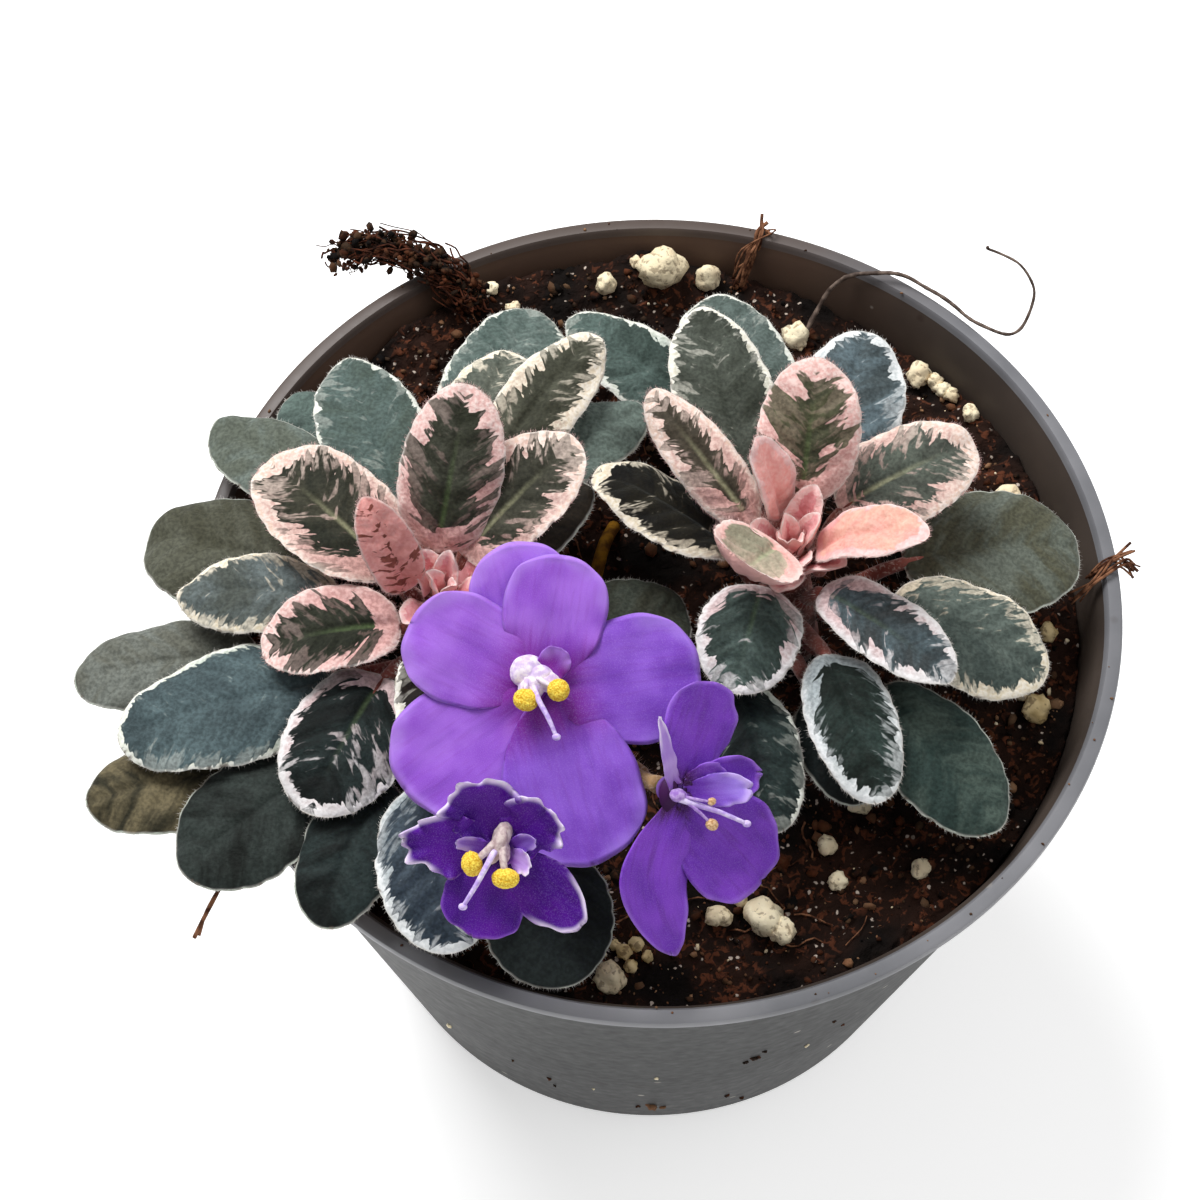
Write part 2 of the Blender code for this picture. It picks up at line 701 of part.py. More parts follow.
def make_tuft(finish):
    """The tuft of coir that lies over the rim at the back left."""
    route = smooth_route(TUFT_ROUTE, 2.5)
    radii = []
    for i in range(len(route)):
        swell = math.sin(math.pi * (i + 1) / (len(route) + 1))
        radii.append(TUFT_RADIUS * (0.6 + 0.4 * swell + 0.15 * (i % 2)))
    rings = tube_rings(route, radii, 7)
    first = route[0].lerp(route[1], -0.1)
    last = route[-1].lerp(route[-2], -0.1)
    add_object("coir_tuft", loft(rings, first, last), finish)


def main():
    clear_scene()
    stem_finish = material("stem_skin", STEM_COLOUR, 0.7)
    leaf_finishes = {
        look: material(f"leaf_{look}", colour, 0.85) for look, colour in LEAF_COLOURS.items()
    }
    petal_finish = material("petal", PETAL_COLOUR, 0.6)
    anther_finish = material("anther", ANTHER_COLOUR, 0.6)
    fibre_finish = material("fibre", FIBRE_COLOUR, 0.95)
    make_pot(material("pot_plastic", POT_COLOUR, 0.5))
    make_mix(material("potting_mix", MIX_COLOUR, 0.95))
    for crown in CROWNS:
        make_crown(crown, stem_finish, leaf_finishes)
    for i, flower in enumerate(FLOWERS, start=1):
        make_flower(f"flower_{i}", flower, LEFT_CROWN, (petal_finish, anther_finish, stem_finish))
    make_root(fibre_finish)
    make_tuft(fibre_finish)


main()
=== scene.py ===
"""Looks of a potted African violet: two crowns of leaves and three flowers in a nursery pot.

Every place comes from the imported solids. Lengths in the tables are in millimetres and become
metres where a mesh is shaped; the finished meshes are in metres.
"""

from __future__ import annotations

import logging
import math
import random
from collections.abc import Callable, Iterable, Sequence
from dataclasses import dataclass, field
from enum import Enum
from functools import cache, partial

import bmesh
import bpy
from mathutils import Matrix, Vector, noise
from mathutils.bvhtree import BVHTree


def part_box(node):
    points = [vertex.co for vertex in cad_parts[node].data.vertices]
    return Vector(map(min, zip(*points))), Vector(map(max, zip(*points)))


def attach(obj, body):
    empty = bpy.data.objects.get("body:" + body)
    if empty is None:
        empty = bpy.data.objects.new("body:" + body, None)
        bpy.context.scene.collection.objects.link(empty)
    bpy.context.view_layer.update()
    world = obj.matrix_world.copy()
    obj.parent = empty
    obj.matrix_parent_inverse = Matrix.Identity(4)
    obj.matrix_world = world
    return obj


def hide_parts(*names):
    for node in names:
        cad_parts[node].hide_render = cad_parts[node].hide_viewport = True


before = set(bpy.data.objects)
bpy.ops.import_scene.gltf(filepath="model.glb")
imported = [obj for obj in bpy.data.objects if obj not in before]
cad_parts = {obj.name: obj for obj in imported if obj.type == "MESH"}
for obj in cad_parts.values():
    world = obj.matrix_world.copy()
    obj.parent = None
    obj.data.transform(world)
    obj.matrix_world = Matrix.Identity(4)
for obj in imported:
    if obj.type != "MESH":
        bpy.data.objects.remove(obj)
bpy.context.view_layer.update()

MM = 0.001
UP = Vector((0.0, 0.0, 1.0))
BODY = "root"
BLACK = (0.0, 0.0, 0.0)
HAIR_TONE_AND_GLINT = "dcd9d2"
WELD = 1e-7  # points nearer than this, in metres, are one point
log = logging.getLogger("violet")

Socket = bpy.types.NodeSocket
Triple = tuple[float, float, float]
Flat = tuple[Socket, Socket, Socket]  # two places on a surface, and a number for each piece


def tint(code: str) -> Triple:
    """Turns a web colour into the linear colour that shaders take.

    Args:
        code: Red, green and blue in hexadecimal, such as "4a6160".

    Returns:
        The colour's three linear shares.
    """
    shares = [int(code[i : i + 2], 16) / 255 for i in (0, 2, 4)]
    red, green, blue = (s / 12.92 if s < 0.04045 else ((s + 0.055) / 1.055) ** 2.4 for s in shares)
    return red, green, blue


def smooth(low: float, high: float, value: float) -> float:
    """Rises softly from 0 at low to 1 at high."""
    share = min(1.0, max(0.0, (value - low) / (high - low)))
    return share * share * (3 - 2 * share)


# ---- shaders


class Shader:
    """A material under construction: short calls that add nodes and join them up."""

    def __init__(self, name: str, roughness: float, gloss: float = 0.15) -> None:
        """Starts an opaque, non-metallic material.

        Args:
            name: The material's name.
            roughness: The roughness of the whole surface.
            gloss: How strongly it mirrors light, from 0 to 1.
        """
        self.material = bpy.data.materials.new(name)
        self.material.use_nodes = True
        self.tree = self.material.node_tree
        self.skin = self.tree.nodes["Principled BSDF"]
        self.skin.inputs["Roughness"].default_value = roughness
        self.skin.inputs["Specular IOR Level"].default_value = gloss

    def node(self, kind: str, *feeds: object, **named: object) -> bpy.types.Node:
        """Adds a node.

        Args:
            kind: The node's kind, such as "Math".
            feeds: What its first inputs get, in order; None leaves an input as it is.
            named: What inputs or settings of these names get.

        Returns:
            The node.
        """
        made = self.tree.nodes.new(f"ShaderNode{kind}")
        for key, value in named.items():
            if key in made.inputs:
                self.feed(made.inputs[key], value)
            else:
                setattr(made, key, value)
        for target, source in zip(made.inputs, feeds):
            if source is not None:
                self.feed(target, source)
        return made

    def feed(self, target: Socket, source: object) -> None:
        """Links a socket to a target, or sets the target's own value.

        Args:
            target: The input that is fed.
            source: A socket, a number or a colour.
        """
        if isinstance(source, bpy.types.NodeSocket):
            self.tree.links.new(source, target)
        elif isinstance(source, tuple) and len(source) == 3 and target.type == "RGBA":
            target.default_value = (*source, 1.0)
        else:
            target.default_value = source

    def math(self, operation: str, first: object, second: object = 0.0) -> Socket:
        """One sum, product or other operation on two values."""
        return self.node("Math", first, second, operation=operation).outputs[0]

    def times(self, first: object, second: object) -> Socket:
        """The product of two values."""
        return self.math("MULTIPLY", first, second)

    def plus(self, first: object, second: object) -> Socket:
        """The sum of two values."""
        return self.math("ADD", first, second)

    def swing(self, value: Socket, strength: float) -> Socket:
        """A noise's value made to swing round 0, times a strength."""
        return self.times(self.plus(value, -0.5), strength)

    def step(self, value: object, low: float, high: float) -> Socket:
        """A soft step from 0 at low to 1 at high, which may lie below low."""
        return self.node("MapRange", value, low, high, interpolation_type="SMOOTHSTEP").outputs[0]

    def mix(self, share: object, first: object, second: object, how: str = "MIX") -> Socket:
        """The first colour where the share is 0, and the second one, blended in, where it is 1."""
        skipped = [None] * 5  # the node's inputs for numbers and vectors
        made = self.node("Mix", share, *skipped, first, second, data_type="RGBA", blend_type=how)
        return made.outputs[2]

    def attribute(self, name: str) -> list[Socket]:
        """The three numbers of a vector that the mesh itself carries."""
        return self.split(self.node("Attribute", attribute_name=name).outputs["Vector"])

    def split(self, vector: Socket) -> list[Socket]:
        """The three numbers of a vector."""
        return list(self.node("SeparateXYZ", vector).outputs)

    def place(self) -> Socket:
        """The object coordinates, in metres."""
        return self.node("TexCoord").outputs["Object"]

    def noise(self, where: Socket, scale: float, detail: float = 2.0, bend: float = 0.0) -> Socket:
        """Soft noise of a frequency, mostly between 0.3 and 0.7, with octaves and distortion."""
        made = self.node("TexNoise", Vector=where, Scale=scale, Detail=detail, Distortion=bend)
        return made.outputs[0]

    def streaks(
        self, flat: Flat, x: float, y: float, bend: float = 0.0, detail: float = 2.0
    ) -> Socket:
        """Noise with a frequency of its own along each of a surface's two directions."""
        where = self.node("CombineXYZ", self.times(flat[0], x), self.times(flat[1], y), flat[2])
        return self.noise(where.outputs[0], 1.0, detail, bend)

    def cells(self, where: Socket, scale: float) -> tuple[Socket, Socket]:
        """Random cells: the distance to the nearest centre, and one random number a cell."""
        distance, colour, *_ = self.node("TexVoronoi", Vector=where, Scale=scale).outputs
        return distance, self.node("SeparateColor", colour).outputs[0]

    def relief(self, height: Socket, strength: float, depth_mm: float) -> None:
        """Bumps the surface by a height between 0 and 1."""
        made = self.node("Bump", Strength=strength, Distance=depth_mm * MM, Height=height)
        self.feed(self.skin.inputs["Normal"], made.outputs[0])

    def velvet(self, weight: float, shade: Triple) -> None:
        """Gives the surface the soft bloom of short hairs."""
        for name, value in (("Weight", weight), ("Roughness", 0.45), ("Tint", (*shade, 1.0))):
            self.skin.inputs[f"Sheen {name}"].default_value = value

    def colour(self, source: object) -> bpy.types.Material:
        """Sets the base colour and hands the material over."""
        self.feed(self.skin.inputs["Base Color"], source)
        return self.material


@dataclass(frozen=True)
class LeafFinish:
    """The pattern of one kind of blade: a dark core inside a pale edge, parted by ragged fingers.

    The mesh carries "blade" (place along the side veins, place across, distance from the margin,
    in millimetres), "traits" (a number that tells leaves apart, 1 on the underside, share of the
    length) and the two colours of its own core, "core_dark" and "core_light".
    """

    name: str
    slot: str
    edge: str
    edge_second: str
    band: float
    ragged: float = 0.6
    patchy: float = 0.5
    grain: float = 0.25
    flecks: float = 0.0
    foot: float = 0.0
    rib: str = "54683f"
    rib_share: float = 0.0
    under: str = "7b6a5c"
    bloom: float = 0.2
    rim: float = 0.5
    nap: float = 0.5

    def build(self) -> bpy.types.Material:
        """Makes the blade's material.

        Returns:
            The finished material.
        """
        s = Shader(self.name, 0.72)
        vein, across, inset = s.attribute("blade")
        number, below, along = s.attribute("traits")
        flat = (vein, across, s.times(number, 3.7))
        fingers = s.streaks(flat, 0.46, 0.15, bend=0.6)
        patches = s.streaks(flat, 0.16, 0.16, detail=1.0)
        grains = s.streaks(flat, 1.15, 0.6, bend=0.6)

        reach = s.times(inset, 1.0 / self.band)
        reach = s.plus(reach, s.swing(fingers, 5.0 * self.ragged))
        reach = s.plus(reach, s.swing(patches, 4.0 * self.patchy))
        reach = s.plus(reach, s.swing(grains, 4.0 * self.grain))
        if self.foot:
            reach = s.plus(reach, s.times(s.step(along, 0.45, 0.0), -self.foot))
        core_share = s.step(reach, 0.87, 1.13)
        core, edge = self.two_colours(s, fingers, patches, grains)
        # Where the quilting sinks between the puffs, the core is darkened towards black: painted
        # shade.
        core = s.mix(s.times(s.step(s.attribute("quilt")[0], -0.1, -0.6), 0.16), core, BLACK)
        if self.rib_share:
            rib = s.times(s.step(s.math("ABSOLUTE", across), 0.5, 0.0), self.rib_share)
            core = s.mix(s.times(rib, s.step(along, 0.8, 0.25)), core, tint(self.rib))
        skin = s.mix(core_share, edge, core)

        hairs = s.noise(s.place(), 2300.0, 3.0)
        nap = s.mix(s.step(hairs, 0.32, 0.68), (0.26, 0.26, 0.26), (0.74, 0.74, 0.74))
        skin = s.mix(self.nap, skin, nap, "OVERLAY")
        # A pale line round the margin: the colour of the margin hairs, and a painted highlight
        # where they catch the light.
        skin = s.mix(s.times(s.step(inset, 0.3, 0.0), self.rim), skin, tint(HAIR_TONE_AND_GLINT))
        skin = s.mix(s.times(below, 0.85), skin, tint(self.under))
        s.relief(s.plus(s.times(hairs, 0.7), s.times(grains, 0.3)), 0.6, 0.3)
        s.velvet(self.bloom * 0.5, tint("c9d6d8"))
        return s.colour(skin)

    def two_colours(
        self, s: Shader, fingers: Socket, patches: Socket, grains: Socket
    ) -> tuple[Socket, Socket]:
        """Colours the core and the edge, each from its own two colours.

        Args:
            s: The material.
            fingers: The long streaks along the side veins.
            patches: The broad patches.
            grains: The short streaks.

        Returns:
            The core's colour, with flecks of the edge's, and the edge's colour.
        """
        inset, along = s.attribute("blade")[2], s.attribute("traits")[2]
        dark = s.node("Attribute", attribute_name="core_dark").outputs["Color"]
        light = s.node("Attribute", attribute_name="core_light").outputs["Color"]
        clouds = s.plus(s.times(patches, 0.5), s.plus(s.times(fingers, 0.3), s.times(grains, 0.2)))
        core = s.mix(s.step(clouds, 0.4, 0.6), dark, light)
        edge_hue = s.plus(s.times(fingers, 0.7), s.times(along, 0.55))
        edge_hue = s.plus(edge_hue, s.times(s.step(inset, 1.0, 0.0), 0.35))
        edge = s.mix(s.step(edge_hue, 0.35, 0.95), tint(self.edge_second), tint(self.edge))
        if self.flecks:
            lines = s.plus(s.times(grains, 0.45), s.times(fingers, 0.3))
            lines = s.plus(lines, s.times(patches, 0.25))
            near_edge = s.times(s.step(inset, self.band * 4.5, self.band * 1.2), 0.09)
            fleck = s.times(s.step(s.plus(lines, near_edge), 0.57, 0.64), self.flecks)
            core = s.mix(fleck, core, edge)
        return core, edge


@dataclass(frozen=True)
class StalkFinish:
    """Downy skin of a petiole, stem or flower stalk, with its colour shifting along it."""

    name: str
    low: str
    high: str

    def build(self) -> bpy.types.Material:
        """Makes the stalk's material.

        Returns:
            The finished material.
        """
        s = Shader(self.name, 0.6)
        place = s.place()
        broad = s.noise(place, 260.0)
        fine = s.noise(place, 2600.0)
        skin = s.mix(s.step(broad, 0.35, 0.65), tint(self.low), tint(self.high))
        skin = s.mix(s.times(s.step(fine, 0.5, 0.75), 0.35), skin, tint("e3cfc4"))
        s.relief(fine, 0.5, 0.1)
        s.velvet(0.4, tint("f0dcd8"))
        return s.colour(skin)


@dataclass(frozen=True)
class HairFinish:
    """Short translucent hairs."""

    name: str
    shade: str

    def build(self) -> bpy.types.Material:
        """Makes the hairs' material.

        Returns:
            The finished material.
        """
        s = Shader(self.name, 0.5)
        speck = s.noise(s.place(), 900.0, 1.0)
        pale = tint(self.shade)
        return s.colour(s.mix(speck, tuple(0.75 * part for part in pale), pale))


@dataclass(frozen=True)
class PetalFinish:
    """The look of one flower's petals, from the throat to the margin.

    The mesh carries "blade" (across, along, distance from the margin, in millimetres) and "traits".
    """

    name: str
    body: str
    body_second: str
    throat: str
    edge: str
    edge_width: float
    edge_share: float
    throat_reach: float
    back: str
    bloom: float = 0.06
    shade: str = ""

    def build(self) -> bpy.types.Material:
        """Makes the petals' material.

        Returns:
            The finished material.
        """
        s = Shader(self.name, 0.55)
        across, along, inset = s.attribute("blade")
        number, behind, share = s.attribute("traits")
        flat = (across, along, s.times(number, 5.3))
        cloud = s.streaks(flat, 0.22, 0.22)
        veins = s.streaks(flat, 2.4, 0.25, bend=0.2)
        fold_shade = s.streaks(flat, 0.9, 0.14, bend=0.3)
        cells = s.noise(s.node("CombineXYZ", *flat).outputs[0], 9.0)
        throat = tint(self.throat)
        skin = s.mix(s.step(cloud, 0.3, 0.7), tint(self.body), tint(self.body_second))
        deep = s.plus(along, s.swing(veins, 3.0))
        skin = s.mix(s.step(deep, self.throat_reach, self.throat_reach * 0.3), skin, throat)
        # Along the fold streaks the colour darkens to the shade colour: painted shade in the folds.
        skin = s.mix(s.times(s.step(fold_shade, 0.5, 0.3), 0.22), skin, tint(self.shade or self.throat))
        skin = s.mix(s.times(s.step(veins, 0.5, 0.68), 0.12), skin, throat)
        skin = s.mix(s.times(s.step(cells, 0.45, 0.75), 0.14), skin, tint("c9a6ee"))
        ragged = s.plus(inset, s.swing(cloud, self.edge_width * 1.5))
        rim = s.times(s.step(ragged, self.edge_width, 0.0), s.step(share, 0.5, 0.72))
        skin = s.mix(s.times(rim, self.edge_share), skin, tint(self.edge))
        skin = s.mix(s.times(behind, 0.6), skin, tint(self.back))
        s.relief(s.plus(s.times(cells, 0.5), s.times(veins, 0.5)), 0.3, 0.12)
        s.velvet(self.bloom, tint("c9a2ff"))
        s.skin.inputs["Subsurface Weight"].default_value = 0.12
        s.skin.inputs["Subsurface Radius"].default_value = (0.9, 0.4, 1.0)
        s.skin.inputs["Subsurface Scale"].default_value = 0.6 * MM
        return s.colour(skin)


@dataclass(frozen=True)
class PlainFinish:
    """A small part's finish: two close colours in fine grains."""

    name: str
    dark: str
    light: str
    grain: float = 1500.0
    roughness: float = 0.6
    depth_mm: float = 0.08

    def build(self) -> bpy.types.Material:
        """Makes the small part's material.

        Returns:
            The finished material.
        """
        s = Shader(self.name, self.roughness)
        grains = s.noise(s.place(), self.grain, 3.0)
        s.relief(grains, 0.6, self.depth_mm)
        return s.colour(s.mix(s.step(grains, 0.35, 0.65), tint(self.dark), tint(self.light)))


@dataclass(frozen=True)
class CrumbFinish:
    """Crumbs of one kind: the mesh's "traits" say how light each one is."""

    name: str
    dark: str
    light: str
    stain_and_reflection: str
    stain_share: float
    pit_share: float

    def build(self) -> bpy.types.Material:
        """Makes the crumbs' material.

        Returns:
            The finished material.
        """
        s = Shader(self.name, 0.9)
        tone = s.attribute("traits")[0]
        place = s.place()
        pits = s.noise(place, 1400.0, 3.0)
        broad = s.noise(place, 420.0)
        skin = s.mix(tone, tint(self.dark), tint(self.light))
        skin = s.mix(s.times(s.step(broad, 0.42, 0.68), self.stain_share), skin, tint(self.stain_and_reflection))
        skin = s.mix(s.times(s.step(pits, 0.46, 0.36), self.pit_share), skin, tint("5a3f2a"))
        s.relief(pits, 0.8, 0.25)
        return s.colour(skin)


@dataclass(frozen=True)
class PeatFinish:
    """The potting mix itself: dark fibrous peat with reddish bark and pale flecks, which are
    painted glints.
    """

    name: str = "moist_peat"
    dark: str = "0c0705"
    light: str = "27160f"
    bark: str = "57301f"
    dust_and_glints: str = "c2b3a6"

    def build(self) -> bpy.types.Material:
        """Makes the potting mix's material.

        Returns:
            The finished material.
        """
        s = Shader(self.name, 0.93)
        place = s.place()
        broad = s.noise(place, 130.0, 3.0)
        fine = s.noise(place, 900.0, 4.0, 0.6)
        skin = s.mix(s.step(broad, 0.35, 0.66), tint(self.dark), tint(self.light))
        bark = s.times(s.step(fine, 0.54, 0.62), s.step(broad, 0.42, 0.56))
        skin = s.mix(bark, skin, tint(self.bark))
        # Pale flecks over the peat: painted glints of its wet surface.
        wander = s.noise(place, 1500.0)
        far, random_number = s.cells(place, 1300.0)
        fleck = s.times(s.step(s.plus(far, wander), 0.8, 0.64), s.step(random_number, 0.86, 0.9))
        skin = s.mix(fleck, skin, tint(self.dust_and_glints))
        s.relief(s.plus(s.times(fine, 0.7), s.times(broad, 0.3)), 1.0, 0.9)
        return s.colour(skin)


class PotZone(Enum):
    """The three surfaces of the pot that look different."""

    WALL = "pot_wall"
    FLANGE = "pot_flange_painted_highlight"
    INSIDE = "pot_inside"


@dataclass(frozen=True)
class PotFinish:
    """Dark grey moulded plastic, dusty, with soil specks; the flange's lighter grey is a painted
    highlight.
    """

    zone: PotZone
    base: str
    worn: str
    speck: str
    speck_share: float
    roughness: float
    gloss: float
    stain_and_reflection: str = ""

    def build(self) -> bpy.types.Material:
        """Makes the plastic's material for one zone of the pot.

        Returns:
            The finished material.
        """
        s = Shader(self.zone.value, self.roughness, self.gloss)
        place = s.place()
        broad = s.noise(place, 45.0, 3.0)
        dust_and_glints = s.noise(place, 700.0, 3.0)
        skin = s.mix(s.step(broad, 0.3, 0.7), tint(self.base), tint(self.worn))
        skin = s.mix(s.times(s.step(dust_and_glints, 0.5, 0.8), 0.12), skin, tint(self.worn))
        # Toward the back left the colour turns to the given tint: on the flange a brown-grey, a
        # painted reflection; on the inside wall a lighter brown.
        if self.stain_and_reflection:
            x, y, _ = s.split(place)
            toward_back = s.plus(s.times(y, 0.87), s.times(x, -0.5))
            ragged = s.plus(toward_back, s.swing(broad, 0.02))
            skin = s.mix(s.times(s.step(ragged, 0.012, 0.042), 0.9), skin, tint(self.stain_and_reflection))
        spots = ((200.0, self.speck, 0.955), (330.0, self.speck, 0.93), (520.0, "b9b2a8", 0.98))
        for scale, shade, cut in spots:
            far, random_number = s.cells(place, scale)
            dot = s.times(s.step(far, 0.3, 0.16), s.step(random_number, cut, cut + 0.02))
            skin = s.mix(s.times(dot, self.speck_share), skin, tint(shade))
        rough = s.plus(s.times(dust_and_glints, 0.25), self.roughness - 0.12)
        s.feed(s.skin.inputs["Roughness"], rough)
        s.relief(s.plus(s.times(dust_and_glints, 0.6), s.times(broad, 0.4)), 0.12, 0.08)
        return s.colour(skin)


# ---- mesh craft


def scatter(rng: random.Random) -> Vector:
    """A random step, even in each direction."""
    return Vector([rng.uniform(-1, 1) for _ in range(3)])


def drift(rng: random.Random, spread: float = 1.0) -> Vector:
    """A random step that is mostly short."""
    return Vector([rng.gauss(0, spread) for _ in range(3)])


def on_disc(x: float, y: float) -> tuple[float, float]:
    """Moves a place on the square from -1 to 1 to the round disc inside it."""
    return x * math.sqrt(1 - y * y / 2), y * math.sqrt(1 - x * x / 2)


@dataclass(frozen=True)
class SkinPoint:
    """One point of a blade or a petal, with the vectors that its material reads."""

    place: Vector
    blade: Vector
    traits: Vector
    quilt: float = 0.0


@dataclass
class DiscPlace:
    """A place on the round disc that a blade or a petal is shaped from."""

    x: float
    y: float

    def __post_init__(self) -> None:
        """Works out the shares that the shapes are made of."""
        width = math.sqrt(max(1e-9, 1 - self.y * self.y))
        self.sideways = max(-1.0, min(1.0, self.x / width)) if width > 0.01 else 0.0
        self.along = (self.y + 1) / 2
        self.out = min(1.0, math.hypot(self.x, self.y))
        self.angle = math.atan2(self.y, self.x)

    def inset(self, half_width: float, half_length: float) -> float:
        """The distance from the margin of an oval that the disc is stretched to."""
        slope = math.hypot(self.x / half_width, self.y / half_length)
        return (1 - self.out) * max(self.out, 0.05) / max(slope, 1e-3)


@dataclass
class Piece:
    """A visible piece under construction: one bmesh and the finishes that its faces use.

    Small shapes are made in a scrap bmesh and moved over in batches, which keeps them quick.
    """

    name: str
    finishes: list[object]
    batch: int = 120
    bm: bmesh.types.BMesh = field(default_factory=bmesh.new)
    scrap: bmesh.types.BMesh = field(default_factory=bmesh.new)

    def __post_init__(self) -> None:
        """Adds the vectors that materials read from the mesh."""
        for name in ("blade", "traits", "core_dark", "core_light", "quilt"):
            self.bm.verts.layers.float_vector.new(name)
        self.find_layers()

    def find_layers(self) -> None:
        """Looks up the vectors again, as adding a mesh to a bmesh moves them."""
        layers = self.bm.verts.layers.float_vector
        self.blade, self.traits, self.quilt = layers["blade"], layers["traits"], layers["quilt"]
        self.core_dark, self.core_light = layers["core_dark"], layers["core_light"]
        self.scrap_traits = self.scrap.verts.layers.float_vector.new("traits")
        self.waiting = 0

    def gather(self) -> None:
        """Moves the small shapes made so far into the piece."""
        mesh = bpy.data.meshes.new("scrap")
        self.scrap.to_mesh(mesh)
        self.bm.from_mesh(mesh)
        bpy.data.meshes.remove(mesh)
        self.scrap.clear()
        self.find_layers()

    def small(self, verts: Sequence[bmesh.types.BMVert], index: int) -> None:
        """Paints a small shape in the scrap and counts it.

        Args:
            verts: The shape's vertices.
            index: The finish that its faces use.
        """
        for vert in verts:
            for face in vert.link_faces:
                face.material_index = index
        self.waiting += 1
        if self.waiting > self.batch:
            self.gather()

    def grid(self, columns: int, rows: int, index: int = 0) -> list[bmesh.types.BMVert]:
        """Adds a flat square grid from -1 to 1, ready to be shaped.

        Args:
            columns: Faces along X.
            rows: Faces along Y.
            index: The finish that its faces use.

        Returns:
            The grid's vertices.
        """
        made = bmesh.ops.create_grid(self.bm, x_segments=columns, y_segments=rows, size=1.0)
        self.paint(made["verts"], index)
        return made["verts"]

    def paint(self, verts: Iterable[bmesh.types.BMVert], index: int) -> None:
        """Gives all faces on some vertices one of the piece's finishes."""
        for face in {face for vert in verts for face in vert.link_faces}:
            face.material_index = index

    def two_faces(
        self, cells: int, shape: Callable[[DiscPlace, float], SkinPoint], gap: float,
        index: int = 0,
    ) -> None:
        """Shapes an upper and a lower face from flat grids and joins them round the margin.

        Args:
            cells: Faces along each side of a grid.
            shape: Gives the point for a place on the disc and a side, 1 or -1.
            gap: Points of the margin nearer than this, in metres, become one.
            index: The finish that the faces use.
        """
        rims: list[bmesh.types.BMVert] = []
        for side in (1.0, -1.0):
            verts = self.grid(cells, cells, index)
            for vert in verts:
                point = shape(DiscPlace(*on_disc(vert.co.x, vert.co.y)), side)
                vert.co = point.place
                vert[self.blade], vert[self.traits] = point.blade, point.traits
                vert[self.quilt] = Vector((point.quilt, 0.0, 0.0))
            rims += verts
        rims = [vert for vert in rims if vert.is_boundary]
        bmesh.ops.remove_doubles(self.bm, verts=rims, dist=gap)

    def tube(
        self, points: Sequence[Vector], radii: Sequence[float], sides: int, index: int = 0,
        traits: Vector | None = None,
    ) -> None:
        """Sweeps a round tube along a line, closed at both ends.

        Args:
            points: The line that it follows.
            radii: The radius at each point.
            sides: How many sides the tube has.
            index: The finish that it uses.
            traits: What its vertices carry for the material.
        """
        line = [points[0], *points, points[-1]]
        widths = [0.0, *radii, 0.0]
        frames = travel_frames(line)
        steps = len(line) - 1
        verts = self.grid(sides, steps, index)
        for vert in verts:
            k = round((vert.co.y + 1) / 2 * steps)
            angle = math.pi * (vert.co.x + 1)
            across, side = frames[k]
            turn = across * math.cos(angle) + side * math.sin(angle)
            vert.co = line[k] + turn * widths[k]
            vert[self.traits] = traits or Vector((0.0, 0.0, k / steps))
        bmesh.ops.remove_doubles(self.bm, verts=verts, dist=WELD)

    def down(
        self, rng: random.Random, line: Sequence[Vector], count: int,
        hair: Triple, reach: float, least: float = 0.0,
    ) -> None:
        """Sets hairs that stand out all round a tube.

        Args:
            rng: Where their places come from.
            line: The tube's middle line.
            count: How many hairs there are.
            hair: Their least and greatest length and their radius, in millimetres.
            reach: How far from the line they start, in millimetres.
            least: A hair whose way out is shorter than this before it is evened is left out.
        """
        shortest, longest, radius = hair
        for _ in range(count):
            k = rng.randrange(1, len(line) - 1)
            along = (line[k + 1] - line[k]).normalized()
            stray = scatter(rng)
            away = stray - along * stray.dot(along)
            if away.length < least:
                continue
            away.normalize()
            root = line[k].lerp(line[k + 1], rng.random()) + away * (reach * MM)
            self.hair(root, away, rng.uniform(shortest, longest) * MM, radius * MM, 2)

    def hair(self, root: Vector, ahead: Vector, length: float, radius: float, index: int) -> None:
        """Adds one short pointed hair.

        Args:
            root: Where it grows from.
            ahead: The way that it points.
            length: Its length in metres.
            radius: Its radius at the root in metres.
            index: The finish that it uses.
        """
        turn = ahead.to_track_quat("Z", "Y").to_matrix().to_4x4()
        made = bmesh.ops.create_cone(
            self.scrap, cap_ends=True, cap_tris=True, segments=3, radius1=radius, radius2=0.0,
            depth=length, matrix=Matrix.Translation(root + ahead * (length * 0.45)) @ turn,
        )
        self.small(made["verts"], index)

    def finish(self, slot: str, *nodes: str, smooth_shading: bool = True) -> bpy.types.Object:
        """Turns the bmesh into an object that rides on the body and replaces its solids.

        Args:
            slot: The record's material slot; not used.
            nodes: The CAD nodes that it stands for.
            smooth_shading: Whether its faces are shaded smooth.

        Returns:
            The finished object.
        """
        self.gather()
        self.scrap.free()
        bmesh.ops.dissolve_degenerate(self.bm, dist=1e-8, edges=self.bm.edges)
        bmesh.ops.recalc_face_normals(self.bm, faces=self.bm.faces)
        mesh = bpy.data.meshes.new(self.name)
        self.bm.to_mesh(mesh)
        self.bm.free()
        for finish in self.finishes:
            mesh.materials.append(material_of(finish))
        if smooth_shading:
            mesh.shade_smooth()
        made = bpy.data.objects.new(self.name, mesh)
        bpy.context.scene.collection.objects.link(made)
        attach(made, BODY)
        if nodes:
            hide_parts(*nodes)
        log.info("%s: %d faces", self.name, len(mesh.polygons))
        return made


@cache
def material_of(finish: object) -> bpy.types.Material:
    """The material of a finish, made once."""
    return finish.build()


